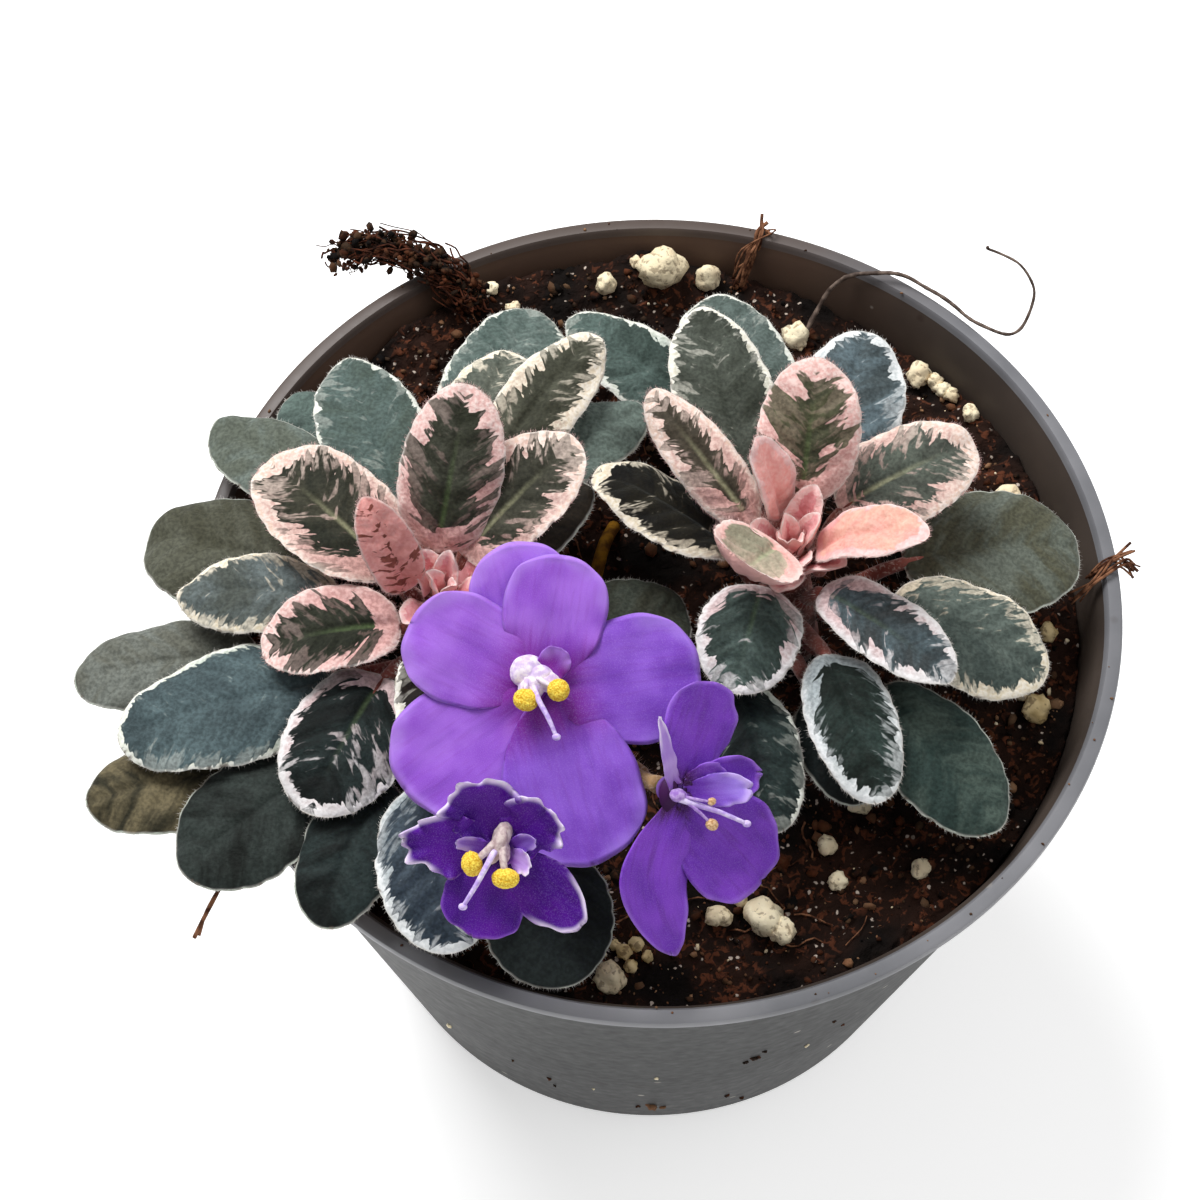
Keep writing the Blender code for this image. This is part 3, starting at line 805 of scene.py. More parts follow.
def travel_frames(line: Sequence[Vector]) -> list[tuple[Vector, Vector]]:
    """Finds two directions square to a line at each point, turning as little as possible.

    Args:
        line: The line's points.

    Returns:
        The two directions at each point.
    """
    frames: list[tuple[Vector, Vector]] = []
    across = Vector((1.0, 0.0, 0.0))
    ahead = UP
    for k in range(len(line)):
        step = line[min(k + 1, len(line) - 1)] - line[max(k - 1, 0)]
        if step.length > 1e-9:
            ahead = step.normalized()
        across = across - ahead * across.dot(ahead)
        if across.length < 0.05:
            across = ahead.orthogonal()
        across.normalize()
        frames.append((across.copy(), ahead.cross(across)))
    return frames


def through(points: Sequence[Vector], steps: int) -> list[Vector]:
    """A smooth line of steps + 1 points through a few given ones."""
    keys = [k / (len(points) - 1) for k in range(len(points))]
    return [curve(keys, points, k / steps) for k in range(steps + 1)]


def curve(keys: Sequence[float], values: Sequence[Vector], at: float) -> Vector:
    """Reads a smooth curve through values that stand at rising keys.

    Args:
        keys: The rising keys.
        values: The value at each key.
        at: The key that is read.

    Returns:
        The curve's value there.
    """
    k = 0
    while k < len(keys) - 2 and at > keys[k + 1]:
        k += 1
    span = keys[k + 1] - keys[k]
    share = (at - keys[k]) / span

    def slope(i: int) -> Vector:
        """The curve's slope at a key, over the span that is read."""
        low, high = max(i - 1, 0), min(i + 1, len(keys) - 1)
        return (values[high] - values[low]) / (keys[high] - keys[low]) * span

    square, cube = share * share, share**3
    return (
        values[k] * (2 * cube - 3 * square + 1)
        + slope(k) * (cube - 2 * square + share)
        + values[k + 1] * (3 * square - 2 * cube)
        + slope(k + 1) * (cube - square)
    )


def mean(points: Sequence[Vector]) -> Vector:
    """The middle of some points."""
    return sum(points, Vector()) / len(points)


def mean_of(values: Iterable[float]) -> float:
    """The middle of some numbers."""
    listed = list(values)
    return sum(listed) / len(listed)


def cage_levels(name: str, near: Vector) -> list[list[Vector]]:
    """Reads a lofted CAD node as rings, from the pole next to a point.

    Args:
        name: The CAD node.
        near: A point next to the end where the rings start.

    Returns:
        The pole, the rings in order with their points in order, and the other pole if it has one.
    """
    bm = bmesh.new()
    bm.from_mesh(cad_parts[name].data)
    bmesh.ops.remove_doubles(bm, verts=bm.verts, dist=2e-6)
    found: list[list[Vector]] = []
    for pole in sorted(bm.verts, key=lambda vert: (vert.co - near).length):
        levels = [[pole]]
        seen = {pole}
        while True:
            ahead = {edge.other_vert(v) for v in levels[-1] for edge in v.link_edges} - seen
            if not ahead:
                break
            seen |= ahead
            levels.append(sorted(ahead, key=lambda vert: vert.index))
        sizes = [len(level) for level in levels]
        rings = sizes[1:-1] if sizes[-1] == 1 else sizes[1:]
        if len(rings) > 2 and min(rings) == max(rings) > 4:
            found = [[vert.co.copy() for vert in walk_ring(level)] for level in levels]
            break
    bm.free()
    if not found:
        raise RuntimeError(f"{name} isn't a loft of even rings")
    return found


def walk_ring(ring: Sequence[bmesh.types.BMVert]) -> list[bmesh.types.BMVert]:
    """Puts the vertices of one ring in order round it.

    Args:
        ring: The ring's vertices.

    Returns:
        The same vertices in order.
    """
    order = [ring[0]]
    members = set(ring)
    while len(order) < len(ring):
        beside = [edge.other_vert(order[-1]) for edge in order[-1].link_edges]
        fresh = [vert for vert in beside if vert in members and vert not in order]
        if not fresh:
            break
        order.append(fresh[0])
    return order


# ---- finishes of this plant


class LeafLook(Enum):
    """The kinds of blade on the plant, from the plain outer leaves to the pink hearts."""

    PLAIN = LeafFinish("plain_blade", "leaf_green", "8b9a8c", "6f7d70", band=0.12)
    SPECKED = LeafFinish(
        "specked_blade", "leaf_green", "dcded4", "a9b2a8", band=0.45,
        ragged=1.2, patchy=1.0, grain=0.9, flecks=0.2, rim=0.4,
    )
    FRAMED = LeafFinish(
        "cream_framed_blade", "leaf_cream", "e2dfd3", "b3b2a4", band=0.65,
        ragged=1.1, patchy=0.7, grain=0.8, flecks=0.3,
    )
    FROSTED = LeafFinish(
        "frosted_blade", "leaf_cream", "dadddd", "99a2a4", band=0.7,
        ragged=1.5, patchy=1.0, grain=0.8, flecks=0.45,
    )
    DASHED = LeafFinish(
        "cream_dashed_blade", "leaf_cream", "e2d8c4", "b3a894", band=0.6,
        ragged=1.3, patchy=1.3, grain=0.8, flecks=0.6,
    )
    FLAMED = LeafFinish(
        "cream_flamed_blade", "leaf_cream", "e6dccb", "bdae9c", band=1.1,
        ragged=1.5, patchy=0.7, grain=0.8, flecks=0.4,
    )
    BLUSHED = LeafFinish(
        "blush_framed_blade", "leaf_cream", "dcd8d8", "bfa7a7", band=0.7,
        ragged=1.5, patchy=1.0, grain=0.8, foot=1.8, flecks=0.5, rib_share=0.25,
    )
    ROSY = LeafFinish(
        "rosy_framed_blade", "leaf_pink", "dcbdb7", "c39691", band=1.4,
        ragged=1.3, patchy=0.7, grain=0.6, foot=1.3, flecks=0.15, rib_share=0.5,
        under="c99a92", bloom=0.15,
    )
    STREAKED = LeafFinish(
        "streaked_blade", "leaf_pink", "e0cbbf", "bd958e", band=1.3,
        ragged=1.4, patchy=0.6, grain=0.9, foot=0.8, flecks=0.45, rib="a8a884", rib_share=0.5,
        under="c99a92", bloom=0.15,
    )
    PALE = LeafFinish(
        "pale_pink_blade", "leaf_pink", "e2bfb8", "cb9d97", band=2.3,
        ragged=1.1, patchy=0.8, grain=0.5, foot=0.9, flecks=0.1, rib_share=0.5,
        under="dfb0a8", bloom=0.15,
    )
    SALMON = LeafFinish(
        "salmon_blade", "leaf_young", "edc0bd", "e0a19f", band=0.9,
        ragged=0.5, patchy=0.9, grain=0.3, rib="d98d86", rib_share=0.4,
        under="e0a39c", rim=0.6, nap=0.25,
    )
    SPOTTED = LeafFinish(
        "spotted_salmon_blade", "leaf_young", "e3a19b", "d4908a", band=8.0,
        ragged=0.2, patchy=0.6, grain=1.5, under="e0a39c", rim=0.6, nap=0.25,
    )
    CUPPED = LeafFinish(
        "cupped_blade", "leaf_young", "edcbc4", "dba59e", band=1.3,
        ragged=0.4, patchy=0.5, grain=0.3, rib="9aa682", rib_share=0.5,
        under="dfa8a0", rim=0.7, nap=0.25,
    )


# The petioles' red-brown is darkened for the shade between the leaves: their own colour and painted
# shade.
PETIOLE_WITH_SHADE = StalkFinish("petiole_skin_with_shade", "5d2a22", "9a5a50")
CROWN_SKIN = StalkFinish("crown_stem_skin", "42150f", "7c382d")
FLOWER_STALK = StalkFinish("flower_stalk_skin", "7d5a3c", "9a7a55")
PALE_HAIR = HairFinish("pale_fuzz", "efe9e2")
PINK_HAIR = HairFinish("pink_fuzz", "f0c9c4")
BROWN_HAIR = HairFinish("brown_fuzz", "d9b9a8")

MID_VIOLET = PetalFinish(
    "mid_violet_petal", "a46cdb", "9154cb", throat="7a2596", throat_reach=7.5,
    edge="b892ea", edge_width=1.6, edge_share=0.5, back="a27ae0", shade="7440b0",
)
# A darker copy of the mid violet, for the two petals on the side away from the light: painted
# shade.
SHADED_VIOLET = PetalFinish(
    "shaded_violet_petal", "8f5dd0", "7844b8", throat="72248c", throat_reach=7.5,
    edge="a684de", edge_width=1.6, edge_share=0.5, back="9a70da", shade="6436a4",
)
DEEP_PURPLE = PetalFinish(
    "deep_purple_petal", "581096", "420880", throat="2a034e", throat_reach=2.6,
    edge="efe0fa", edge_width=0.75, edge_share=0.95, back="a581d6", bloom=0.02,
)
PLAIN_PURPLE = PetalFinish(
    "plain_purple_petal", "5a1398", "460a86", throat="2a034e", throat_reach=2.6,
    edge="8a56c8", edge_width=0.4, edge_share=0.6, back="8a62c8", bloom=0.02,
)
BLUE_VIOLET = PetalFinish(
    "blue_violet_petal", "7e40c2", "6630a8", throat="3c1146", throat_reach=3.4,
    edge="a57ce0", edge_width=0.6, edge_share=0.5, back="8a5fd0", bloom=0.03,
)
LILAC = PetalFinish(
    "lilac_petaloid", "a284e4", "8a5ed2", throat="6c35b0", throat_reach=5.0,
    edge="d9c4f6", edge_width=0.6, edge_share=0.55, back="b79cec",
)
BLANCHED = PetalFinish(
    "blanched_petal", "cdb0e6", "a47fd2", throat="8a50b8", throat_reach=2.5,
    edge="efe4fa", edge_width=0.6, edge_share=0.8, back="dccaf2",
)
ANTHER = PlainFinish("pollen_sacs", "d8a526", "fbe25e", 5200.0, 0.7, 0.15)
DRY_ANTHER = PlainFinish("dry_pollen_sacs", "b98a5c", "e6c49a", 4200.0, 0.7, 0.12)
FILAMENT = PlainFinish("cream_filaments", "c9b2dc", "f0e6ee", 1500.0, 0.6, 0.12)
BEIGE_FILAMENT = PlainFinish("beige_filaments", "b39b9c", "d9c9c4", 1900.0, 0.5, 0.1)
MAUVE_FILAMENT = PlainFinish("mauve_filaments", "9a72c2", "c3a6de", 1900.0, 0.5, 0.1)
STYLE = PlainFinish("lilac_style", "b79ae0", "e3d5f5", 1500.0, 0.5, 0.05)
SEPAL = PlainFinish("hairy_sepals", "4f4a2c", "7b6a45", 1800.0, 0.75, 0.15)

PEAT_CRUMB = CrumbFinish("peat_crumbs", "070505", "9a7658", "6e3a20", 0.5, 0.4)
PERLITE = CrumbFinish("perlite_grains", "cdb184", "fff3d2", "dcc09a", 0.4, 0.55)
MOSSY = CrumbFinish("mossy_perlite", "a07c48", "ecd6a4", "94763a", 0.6, 0.6)
DARK_COIR = PlainFinish("dark_coir", "1f0f0a", "5c3120", 900.0, 0.85, 0.1)
FIBRE = PlainFinish("brown_fibre", "3f2215", "8a5f45", 900.0, 0.85, 0.1)
DRY_STALK = PlainFinish("dry_yellow_stalk", "5e3a10", "a5741c", 700.0, 0.7, 0.1)
ROOT = PlainFinish("thread_root_skin", "463a34", "7a6a60", 900.0, 0.6, 0.05)

POT_FINISHES = (
    PotFinish(PotZone.WALL, "1c1d1d", "252626", "0f0906", 0.85, 0.55, 0.25),
    # The flange is the same plastic as the wall; its much lighter grey is a painted highlight.
    PotFinish(PotZone.FLANGE, "616266", "828286", "4a423e", 0.3, 0.42, 0.4, "4a3c34"),
    PotFinish(PotZone.INSIDE, "3a322d", "4d433c", "2b1d17", 0.9, 0.55, 0.3, "543f33"),
)


# ---- the pot and what fills it


@dataclass
class NurseryPot:
    """A thin round pot that tapers to a smaller foot, with a narrow flat flange round its mouth."""

    node: str = "pot"
    wall: float = 1.4
    floor: float = 1.8
    flange_width: float = 2.0
    flange_depth: float = 1.5
    flange_step: float = 1.2
    foot_radius: float = 36.0
    drain_holes: int = 8
    drain_radius: float = 3.0
    drain_circle: float = 28.0
    sides: int = 192

    def __post_init__(self) -> None:
        """Reads the rim's radius and the height from the solid."""
        low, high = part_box(self.node)
        self.radius = (high.x - low.x) / 2 / MM
        self.height = high.z / MM

    def wall_radius(self, height: float) -> float:
        """The outer radius of the wall at a height, in millimetres."""
        run = self.radius - self.flange_step - self.foot_radius
        return self.foot_radius + run * height / (self.height - self.flange_depth)

    def build(self) -> None:
        """Spins the wall, floor and flange in one piece and drills the drain holes."""
        top = self.height
        lip = top - self.flange_depth
        mouth = self.radius - self.flange_width
        profile = [
            (0.0, self.floor), (self.wall_radius(self.floor) - self.wall - 1.5, self.floor),
            (self.wall_radius(self.floor) - self.wall - 0.4, self.floor + 0.4),
            (self.wall_radius(self.floor + 1.5) - self.wall, self.floor + 1.5),
            (self.wall_radius(lip - 6) - self.wall, lip - 6.0),
            (self.wall_radius(lip) - self.wall, lip), (mouth, top - 0.9),
            (mouth + 0.12, top - 0.35), (mouth + 0.45, top), (self.radius - 0.45, top),
            (self.radius - 0.1, top - 0.18), (self.radius, top - 0.55),
            (self.radius - 0.12, lip + 0.1), (self.radius - 0.35, lip),
            (self.wall_radius(lip - 0.5) + 0.12, lip - 0.12),
            (self.wall_radius(lip - 0.9), lip - 0.8), (self.wall_radius(30.0), 30.0),
            (self.wall_radius(1.6), 1.6), (self.foot_radius - 0.35, 0.4),
            (self.foot_radius - 1.2, 0.0), (self.foot_radius - 3.0, 0.0), (0.0, 0.0),
        ]
        zones = [finish.zone for finish in POT_FINISHES]
        piece = Piece("pot_shell", list(POT_FINISHES))
        bm = piece.bm
        verts = [bm.verts.new((r * MM, 0.0, z * MM)) for r, z in profile]
        edges = [bm.edges.new(pair) for pair in zip(verts, verts[1:])]
        bmesh.ops.spin(
            bm, geom=verts + edges, cent=(0, 0, 0), axis=(0, 0, 1), angle=math.tau,
            steps=self.sides, use_merge=True,
        )
        bmesh.ops.remove_doubles(bm, verts=bm.verts, dist=1e-6)
        for face in bm.faces:
            middle = face.calc_center_median() / MM
            reach = math.hypot(middle.x, middle.y)
            outside = reach > self.wall_radius(middle.z) - self.wall / 2 or middle.z < 1.0
            if middle.z > lip - 0.2 and reach > mouth - 0.1:
                face.material_index = zones.index(PotZone.FLANGE)
            elif not outside:
                face.material_index = zones.index(PotZone.INSIDE)
        made = piece.finish("pot_plastic", self.node)
        made.data.set_sharp_from_angle(angle=math.radians(40))
        self.drill(made)

    def drill(self, made: bpy.types.Object) -> None:
        """Cuts the ring of drain holes through the floor.

        Args:
            made: The pot's object, whose mesh is exchanged.
        """
        bits = bmesh.new()
        for k in range(self.drain_holes):
            turn = Matrix.Rotation(math.tau * (k + 0.5) / self.drain_holes, 4, "Z")
            bmesh.ops.create_cone(
                bits, cap_ends=True, segments=32, radius1=self.drain_radius * MM,
                radius2=self.drain_radius * MM, depth=6 * self.floor * MM,
                matrix=turn @ Matrix.Translation((self.drain_circle * MM, 0, 0)),
            )
        mesh = bpy.data.meshes.new("drain_bits")
        bits.to_mesh(mesh)
        bits.free()
        tool = bpy.data.objects.new("drain_bits", mesh)
        bpy.context.scene.collection.objects.link(tool)
        cut = made.modifiers.new("drain", "BOOLEAN")
        cut.operation = "DIFFERENCE"
        cut.object = tool
        cut.solver = "EXACT"
        graph = bpy.context.evaluated_depsgraph_get()
        result = bpy.data.meshes.new_from_object(made.evaluated_get(graph))
        made.modifiers.clear()
        made.data = result
        bpy.data.objects.remove(tool)


@dataclass
class PottingMix:
    """The top of the peat: an uneven surface strewn with crumbs, bark, perlite and hair roots.

    A bank of it lies against the back wall. Each larger grain of perlite, plain or mossy, has its
    own place and size in the tables.
    """

    pot: NurseryPot
    node: str = "potting_mix"
    cells: int = 180
    crumbs: int = 4200
    bank: float = 4.2
    seed: int = 7
    hair_roots: int = 80
    flecks: int = 240
    grains: tuple[Triple, ...] = (
        (-0.8, 46.9, 5.3), (4.9, 46.6, 3.2), (-7.5, 44.0, 2.8), (-3.9, 46.6, 1.4),
        (30.6, 34.9, 2.9), (32.6, 34.2, 2.0), (41.6, -8.0, 1.8), (12.8, -37.5, 4.6),
        (14.6, -38.8, 3.2), (7.9, -37.3, 2.9), (10.1, -35.3, 1.8), (29.9, -30.3, 2.3),
        (23.2, -22.6, 3.0), (20.7, -32.2, 2.2), (19.6, -28.0, 2.6), (-3.8, -44.9, 3.2),
        (40.7, 18.2, 3.0), (45.4, 15.8, 2.4), (15.6, 39.3, 3.0), (-18.6, 40.4, 2.2),
        (-22.0, 43.6, 1.7), (36.1, 35.8, 2.0), (38.3, 30.8, 2.2), (35.4, 33.2, 1.8),
    )
    mossy: tuple[Triple, ...] = (
        (43.2, -9.9, 3.0), (44.9, -0.3, 2.4), (-2.4, -41.6, 1.9), (-1.0, -40.6, 1.7),
        (-1.6, -42.9, 1.5), (-3.4, -40.6, 1.3), (0.2, -41.9, 1.2), (-24.0, -43.0, 2.2),
    )

    def __post_init__(self) -> None:
        """Reads the solid's top so that heights can be looked up."""
        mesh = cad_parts[self.node].data
        self.tree = BVHTree.FromPolygons(
            [vert.co for vert in mesh.vertices], [tuple(face.vertices) for face in mesh.polygons]
        )
        _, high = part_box(self.node)
        self.reach = self.pot.wall_radius(64.0) - self.pot.wall - 0.05
        self.top = high.z

    def height(self, x: float, y: float) -> float:
        """The height of the mix with its own lumps, in millimetres.

        Args:
            x: The place to the right of the pot's axis, in millimetres.
            y: The place behind it, in millimetres.

        Returns:
            The height over the pot's foot.
        """
        shrink = min(1.0, (self.reach - 0.8) / max(1e-6, math.hypot(x, y)))
        start = Vector((x * shrink * MM, y * shrink * MM, self.top + 5 * MM))
        hit = self.tree.ray_cast(start, Vector((0, 0, -1)))[0]
        base = hit.z / MM if hit else self.top / MM - 3
        place = Vector((x, y, 0.0))
        lumps = noise.noise(place * 0.16) * 0.9 + noise.noise(place * 0.45) * 0.65
        lumps += noise.noise(place * 0.95) * 0.6 + noise.noise(place * 1.7) * 0.35
        angle = math.degrees(math.atan2(y, x))
        bank = smooth(84.0, 94.0, angle) * (1 - smooth(128.0, 146.0, angle))
        bank *= smooth(0.76, 1.0, math.hypot(x, y) / self.reach)
        bank *= 0.6 + 0.5 * smooth(98.0, 122.0, angle)
        return base + lumps - 0.1 + self.bank * bank

    def build(self) -> None:
        """Makes the bed of peat, its crumbs and its perlite."""
        self.bed()
        self.strew()
        self.perlite()

    def bed(self) -> None:
        """The body of peat, which fills the pot under its uneven top."""
        piece = Piece("peat_bed", [PeatFinish()])
        verts = piece.grid(self.cells, self.cells)
        for vert in verts:
            x, y = on_disc(vert.co.x, vert.co.y)
            x, y = x * self.reach, y * self.reach
            vert.co = Vector((x, y, self.height(x, y))) * MM
        edges = [edge for edge in piece.bm.edges if edge.is_boundary]
        skirt = bmesh.ops.extrude_edge_only(piece.bm, edges=edges)["geom"]
        foot = self.pot.floor + 0.3
        shrink = (self.pot.wall_radius(foot) - self.pot.wall - 0.3) / self.reach
        for vert in (item for item in skirt if isinstance(item, bmesh.types.BMVert)):
            vert.co = Vector((vert.co.x * shrink, vert.co.y * shrink, foot * MM))
        rim = [edge for edge in piece.bm.edges if edge.is_boundary]
        bmesh.ops.edgeloop_fill(piece.bm, edges=rim)
        piece.finish("potting_mix", self.node)

    def somewhere(
        self, rng: random.Random, margin: float, innermost: float
    ) -> tuple[float, float]:
        """A random place on the mix.

        Args:
            rng: Where it comes from.
            margin: How far it stays from the wall, in millimetres.
            innermost: The share of the area round the middle that stays empty.

        Returns:
            The place in millimetres.
        """
        reach = (self.reach - margin) * math.sqrt(rng.uniform(innermost, 1.0))
        angle = rng.uniform(0, math.tau)
        return reach * math.cos(angle), reach * math.sin(angle)

    def strew(self) -> None:
        """Crumbs, bark chips and hair roots over the whole top."""
        rng = random.Random(self.seed)
        piece = Piece("peat_crumbs", [PEAT_CRUMB, FIBRE])
        for _ in range(self.crumbs):
            x, y = self.somewhere(rng, 0.9, 0.03)
            size = 0.16 + 0.75 * rng.random() ** 5
            tone = rng.random() ** 5
            place = Vector((x, y, self.height(x, y) + size * 0.25))
            add_lump(piece, rng, place, size, tone)
        for _ in range(self.hair_roots):
            x, y = self.somewhere(rng, 3.0, 0.1)
            heading = rng.uniform(0, math.tau)
            points = []
            for _ in range(6):
                points.append(Vector((x, y, self.height(x, y) + 0.15 + 0.5 * rng.random())) * MM)
                heading += rng.uniform(-0.7, 0.7)
                x += math.cos(heading) * 0.9
                y += math.sin(heading) * 0.9
                if math.hypot(x, y) > self.reach - 0.6:
                    break
            if len(points) > 2:
                width = rng.uniform(0.05, 0.13) * MM
                piece.tube(points, [width] * len(points), 4, 1)
        piece.finish("potting_mix")

    def perlite(self) -> None:
        """The perlite: the larger grains in their places, and small flecks between them."""
        rng = random.Random(self.seed + 1)
        piece = Piece("perlite_grains", [PERLITE, MOSSY])
        for index, table in enumerate((self.grains, self.mossy)):
            for x, y, size in table:
                inward = min(1.0, (self.reach - 0.65 * size) / math.hypot(x, y))
                x, y = x * inward, y * inward
                lift = size * (0.5 if size > 5 else 0.28)
                place = Vector((x, y, self.height(x, y) + lift))
                add_lump(piece, rng, place, size / 2, rng.uniform(0.6, 1.0), index, 3)
        for _ in range(self.flecks):
            x, y = self.somewhere(rng, 1.2, 0.2)
            size = 0.09 + 0.45 * rng.random() ** 5
            place = Vector((x, y, self.height(x, y) + size * 0.4))
            add_lump(piece, rng, place, size, rng.uniform(0.3, 1.0))
        piece.finish("potting_mix")


def add_lump(
    piece: Piece, rng: random.Random, place: Vector, size: float, tone: float, index: int = 0,
    fineness: int = 1,
) -> None:
    """Adds one irregular crumb.

    Args:
        piece: The piece that it belongs to.
        rng: Where its irregularities come from.
        place: Its middle, in millimetres.
        size: Its radius, in millimetres.
        tone: How light it is, from 0 to 1.
        index: The finish that it uses.
        fineness: How often it is subdivided.
    """
    least, coarse = (0.8, 0.4) if fineness > 2 else (0.5, 0.6)
    spread = Matrix.Diagonal(Vector([rng.uniform(least, 1.15) for _ in range(3)]).to_4d())
    turn = Matrix.Rotation(rng.uniform(0, math.tau), 4, Vector((rng.random(), rng.random(), 1)))
    made = bmesh.ops.create_icosphere(
        piece.scrap, subdivisions=fineness, radius=size * MM, matrix=turn @ spread
    )["verts"]
    offset = Vector((rng.random(), rng.random(), rng.random())) * 50
    for vert in made:
        bump = noise.noise(vert.co / (size * MM) * 1.3 + offset) * coarse
        if fineness > 2:
            bump += noise.noise(vert.co / (size * MM) * 4.0 + offset) * 0.2
        vert.co = vert.co * (1 + bump) + place * MM
        vert[piece.scrap_traits] = Vector((tone, 0, 0))
    piece.small(made, index)


# ---- leaves


@dataclass
class Cage:
    """The run of one leaf: the line of its petiole and the bend of its blade."""

    rows: int = 120

    def at(self, t: float) -> tuple[Vector, Vector, Vector]:
        """Looks up the run of the blade.

        Args:
            t: The share of the blade's length, from 0 at its base to 1 at its tip.

        Returns:
            The middle line, the way across and the way up there.
        """
        place = min(max(t, 0.0), 1.0) * self.rows
        k = min(int(place), self.rows - 1)
        share = place - k
        return tuple(
            table[k].lerp(table[k + 1], share) for table in (self.centres, self.across, self.ups)
        )


@dataclass
class SketchedCage(Cage):
    """The run of a young heart leaf, from a few sizes round its crown's axis, in millimetres."""

    axis: Vector = field(default_factory=Vector)
    azimuth: float = 0.0
    reach: float = 1.0
    height: float = 12.0
    tip_reach: float = 4.0
    tip_height: float = 18.0
    width: float = 3.5
    bend: float = 0.5
    fold: float = 0.6

    def __post_init__(self) -> None:
        """Tabulates the blade from its base to its tip."""
        turn = math.radians(self.azimuth)
        out = Vector((math.cos(turn), math.sin(turn), 0.0))
        side = UP.cross(out)
        low = self.axis + out * (self.reach * MM) + UP * (self.height * MM)
        tip = self.axis + out * (self.tip_reach * MM) + UP * (self.tip_height * MM)
        chord = (tip - low).normalized()
        up = chord.cross(side)
        knee = (low + tip) / 2 + up * (2 * self.bend * MM)
        self.centres, self.across, self.ups = [], [], []
        for k in range(self.rows + 1):
            t = k / self.rows
            self.centres.append(low * (1 - t) ** 2 + knee * (2 * t * (1 - t)) + tip * t * t)
            ahead = ((knee - low) * (1 - t) + (tip - knee) * t).normalized()
            self.across.append(side)
            self.ups.append(ahead.cross(side))
        self.half = self.width / 2 * MM
        self.cup = self.fold * MM
        self.length = (tip - low).length
        foot = self.axis + UP * ((self.height - 3.0) * MM)
        self.stalk = [foot, foot.lerp(low, 0.35), foot.lerp(low, 0.65), low]


@dataclass
class BladeCage(Cage):
    """The run of one leaf, read from its solid.

    Its stations are the places of the solid's rings along the blade. The blade may run down the
    petiole, in millimetres, be broader than the solid, and end before its tip.
    """

    node: str = ""
    axis: Vector = field(default_factory=Vector)
    reach_back: float = 1.2
    broaden: float = 1.0
    end: float = 1.0
    stations: tuple[float, ...] = (0.05, 0.17, 0.34, 0.52, 0.70, 0.86, 0.96)

    def __post_init__(self) -> None:
        """Reads the rings and tabulates the blade from its base to its tip."""
        levels = cage_levels(self.node, self.axis)
        rings = levels[4:-1]
        tip = levels[-1][0]
        chord = (tip - mean(rings[0])).normalized()
        level = UP.cross(chord).normalized()
        normal = chord.cross(level)
        parts = [self.section(ring, level, normal) for ring in rings]
        gap = self.stations[0] / (self.stations[1] - self.stations[0])
        centres = [part[0] for part in parts]
        base = centres[0] - (centres[1] - centres[0]) * gap
        centres = [base, *centres, tip]
        acrosses = [parts[0][1].normalized()] + [p[1].normalized() for p in parts]
        acrosses.append(acrosses[-1])
        ups = [parts[0][2], *[part[2] for part in parts], parts[-1][2]]
        self.stalk = [levels[0][0], *[mean(ring) for ring in levels[1:4]]]
        back = (self.stalk[-1] - base).normalized() * 0.5 - (centres[3] - base).normalized() * 0.5
        back = back.normalized() * (self.reach_back * MM)
        base += back
        centres[0] = base
        runs = [(b - a).length for a, b in zip(centres, centres[1:])]
        self.length = sum(runs)
        keys = [sum(runs[:k]) / self.length for k in range(len(centres))]
        self.half = mean_of(part[1].length / oval(t) for part, t in zip(parts, self.stations))
        self.half *= self.broaden
        self.cup = mean_of(part[3] / oval(t) for part, t in zip(parts, self.stations))
        places = [self.end * k / self.rows for k in range(self.rows + 1)]
        self.centres = [curve(keys, centres, place) for place in places]
        self.across = [curve(keys, acrosses, place) for place in places]
        self.ups = [curve(keys, ups, place) for place in places]
        self.length *= self.end
        base = self.centres[0]
        while len(self.stalk) > 2 and (self.stalk[-1] - base).length < 1.2 * MM + abs(back.length):
            self.stalk.pop()
        self.stalk.append(base)

    def section(
        self, ring: Sequence[Vector], level: Vector, normal: Vector
    ) -> tuple[Vector, Vector, Vector, float]:
        """Reads one ring of eight points across the blade.

        Args:
            ring: The ring's points in order.
            level: Roughly the way to the blade's side.
            normal: Roughly the way up from the blade.

        Returns:
            The middle, the way to the side at half width, the way up, and how far the sides rise.
        """
        k = max(range(4), key=lambda i: (ring[i] - ring[i + 4]).length)
        if (ring[k] - ring[k + 4]).dot(level) < 0:
            k += 4
        edge, far = ring[k], ring[(k + 4) % 8]
        one, other = ring[(k + 2) % 8], ring[(k - 2) % 8]
        if (one - other).dot(normal) < 0:
            one, other = other, one
        middle = (one + other) / 2
        up = (one - other).normalized()
        rise = ((edge + far) / 2 - middle).dot(up)
        return middle, (edge - far) / 2, up, rise


def oval(t: float) -> float:
    """The share of a blade's half width at a share of its length."""
    return max(0.0, 1 - abs(2 * t**0.93 - 1) ** 2.15) ** 0.5


